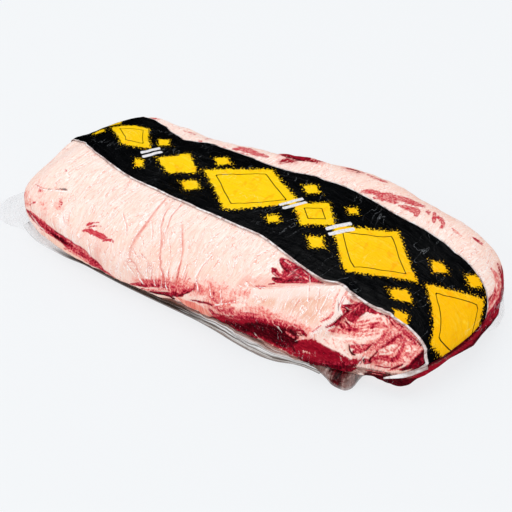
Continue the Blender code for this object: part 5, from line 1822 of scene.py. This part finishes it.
# the white tongue, a thin strip over the foot of the lobe
first = 2 * len(used)
for upper, lower in TONGUE:
    for share in np.linspace(0, 1, TONGUE_STEPS):
        point, way, _ = seen(*(np.array(upper) + (np.array(lower) - np.array(upper)) * share))
        band_points.append(np.array([np.array(point) + np.array(way) * out for out in TONGUE_LIFT]))
stride = 2 * TONGUE_STEPS
ring = list(range(0, stride, 2)) + list(range(stride - 1, 0, -2))
for n in range(len(TONGUE) - 1):
    for a, b in zip(ring, ring[1:] + ring[:1]):
        here = first + n * stride
        band_faces.append((here + a, here + b, here + stride + b, here + stride + a))
last = first + (len(TONGUE) - 1) * stride
band_faces.append(tuple(first + k for k in ring)[::-1])
band_faces.append(tuple(last + k for k in ring))
band_points = np.concatenate(band_points)
added = len(band_points) - first
band = add_object("printed_band_film", band_points, band_faces, band_material())
printed = {"edge": edge, "diamond": diamond, "inset": inset, "bar": bar, "warm": ease(along, *REDDER_BAND)}
on_tongue = {"edge": 0, "diamond": -FAR_OFF, "inset": 0, "bar": -FAR_OFF, "warm": 0}
for name, values in printed.items():
    put(band, {name: np.concatenate([values, values, np.full(added, float(on_tongue[name]))])})
put(band, {"place": np.concatenate([place, place, band_points[first:]])})
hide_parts("printed_band")

# The loose film round the foot of the pack
tree = BVHTree.FromPolygons([tuple(point) for point in film_points], meat_faces)


def side_of_pack(aim, out, z):
    """The pack's side at a height, looking from outside towards a point in it."""
    hit = tree.ray_cast(Vector((*(aim + out * WELL_OUTSIDE), z)), Vector((*-out, 0)))[0]
    return np.array(hit[:2])


def laid_on_floor(edge, start, stop):
    """Even steps along a film's outer edge on the floor, and the points in the pack they're drawn towards."""
    corners = np.array([on_floor(x, y) for x, y in edge])
    reached = np.concatenate([[0], np.cumsum(np.linalg.norm(np.diff(corners, axis=0), axis=1))])
    steps = np.linspace(0, reached[-1], max(LEAST_FILM_STEPS, round(reached[-1] / FILM_STEP)))
    feet = np.stack([smooth_through(steps, reached, corners[:, n]) for n in (0, 1)], axis=1)
    aims = np.array(start) + (np.array(stop) - np.array(start)) * (steps / reached[-1])[:, None]
    return feet, aims


def laid_by_reach(ends, reaches):
    """The same for a film out of the photo's sight, from how far it reaches out of the pack's side."""
    start, stop = np.array(ends, float)
    feet, aims = [], []
    for share in np.linspace(0, 1, HIDDEN_FILM_STEPS):
        x, y, degrees = start + (stop - start) * share
        out = bearing(degrees)
        reach = float(smooth_through(share, np.linspace(0, 1, len(reaches)), reaches))
        aims.append(np.array([x, y]))
        feet.append(side_of_pack(aims[-1], out, WAIST) + out * reach)
    return np.array(feet), np.array(aims)


def loose_film(name, laid, tops, fullness, material):
    """A strip of loose film from the pack's side, as high as tops say, to its outer edge on the floor."""
    sections, places = [], []
    reached = 0
    feet, aims = laid
    for n, (foot, aim) in enumerate(zip(feet, aims)):
        out = (foot - aim) / np.linalg.norm(foot - aim)
        heel = side_of_pack(aim, out, HEEL_HEIGHT)
        if (foot - heel) @ out < EDGE_THICKNESS:
            foot = heel + out * EDGE_THICKNESS
        share = n / (len(feet) - 1)
        high = float(np.interp(share, np.linspace(0, 1, len(tops)), tops))
        head = side_of_pack(aim, out, high)
        reached += np.linalg.norm(feet[n] - feet[max(n - 1, 0)])
        for v in np.linspace(0, 1, FILM_STEPS_DOWN + 1):
            flat = head + (foot - head) * v + out * fullness * math.sin(math.pi * v) * FULLNESS_OUT
            z = high * (1 - v) + EDGE_THICKNESS * v + fullness * math.sin(math.pi * v) * FULLNESS_UP
            sections.append((*flat, z))
            places.append((reached, v, share))
        behind = side_of_pack(aim, out, high / 2)
        for flat, z, v in ((foot, 0, 1), (heel, 0, AT_HEEL), (behind, high / 2, BEHIND_FILM)):
            sections.append((*flat, z))
            places.append((reached, v, share))
    points = np.array(sections)
    places = np.array(places)
    size = len(points) // len(feet)
    ripple = RIPPLE_HEIGHT * rough(places, *RIPPLES) + SMALL_RIPPLE_HEIGHT * rough(places, *SMALL_RIPPLES)
    points[:, 2] += ripple * np.sin(np.pi * np.clip(places[:, 1], 0, 1))
    points[:, 2] = np.maximum(points[:, 2], 0)
    faces = [tuple(range(size))[::-1], tuple(range(len(points) - size, len(points)))]
    for n in range(len(feet) - 1):
        for k in range(size):
            a, b = n * size + k, n * size + (k + 1) % size
            faces.append((a, b, b + size, a + size))
    piece = add_object(name + "_film", points, faces, material)
    put(piece, {"place": places})
    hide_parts(name)


strip_film = loose_material("strip_film", STRIP_SOLID, True)
tail_film = loose_material("tail_film", TAIL_SOLID, False)
juice_film = juice_material()
front_laid = laid_on_floor(FRONT_FILM, *FRONT_AIMS)
pocket_laid = laid_on_floor(POCKET, *POCKET_AIMS)
left_laid = laid_on_floor(LEFT_TAIL, *LEFT_TAIL_AIMS)
right_laid = laid_by_reach(RIGHT_TAIL_ENDS, RIGHT_TAIL_REACHES)
back_laid = laid_by_reach(BACK_FILM_ENDS, BACK_REACHES)
loose_film("bag_edge_front", front_laid, FRONT_TOPS, 0, strip_film)
loose_film("bag_pocket", pocket_laid, POCKET_TOPS, POCKET_FULLNESS, juice_film)
loose_film("bag_tail_left", left_laid, LEFT_TAIL_TOPS, 0, tail_film)
loose_film("bag_tail_right", right_laid, RIGHT_TAIL_TOPS, 0, tail_film)
loose_film("bag_edge_back", back_laid, BACK_TOPS, 0, strip_film)

# The floor, the light and the camera
corners = [(x * FLOOR_HALF, y * FLOOR_HALF, -FLOOR_DROP) for x, y in ((-1, -1), (1, -1), (1, 1), (-1, 1))]
floor_mesh = bpy.data.meshes.new("floor")
floor_mesh.from_pydata(corners, [], [(0, 1, 2, 3)])
floor = bpy.data.objects.new("floor", floor_mesh)
bpy.context.scene.collection.objects.link(floor)
pale = Nodes("floor")
board = pale.add("ShaderNodeBsdfDiffuse", {"Color": paint(238, 240, 242)})
glow = pale.add("ShaderNodeEmission", {"Color": paint(243, 245, 247), "Strength": 1.0})
table = pale.add("ShaderNodeMixShader", {0: FLOOR_GLOW, 1: board.outputs[0], 2: glow.outputs[0]})
floor_mesh.materials.append(pale.finish(table.outputs[0]))
floor.visible_glossy = False

world = bpy.data.worlds.new("studio")
world.use_nodes = True
background = world.node_tree.nodes["Background"]
background.inputs["Color"].default_value = WORLD_COLOUR
background.inputs["Strength"].default_value = WORLD_STRENGTH
world.cycles_visibility.glossy = False
bpy.context.scene.world = world

for name, place, size, watts in LAMPS:
    lamp = bpy.data.lights.new(name, "AREA")
    lamp.shape = "SQUARE"
    lamp.size = size
    lamp.energy = watts
    obj = bpy.data.objects.new(name, lamp)
    obj.location = place
    obj.rotation_euler = (-Vector(place)).to_track_quat("-Z", "Y").to_euler()
    bpy.context.scene.collection.objects.link(obj)

camera = bpy.data.objects.new("camera", bpy.data.cameras.new("camera"))
camera.data.lens = CAMERA_LENS
camera.data.sensor_width = SENSOR_WIDTH
camera.location = camera_place
camera.rotation_euler = camera_turn.to_euler()
bpy.context.scene.collection.objects.link(camera)
bpy.context.scene.camera = camera
bpy.context.scene.view_settings.view_transform = "Standard"
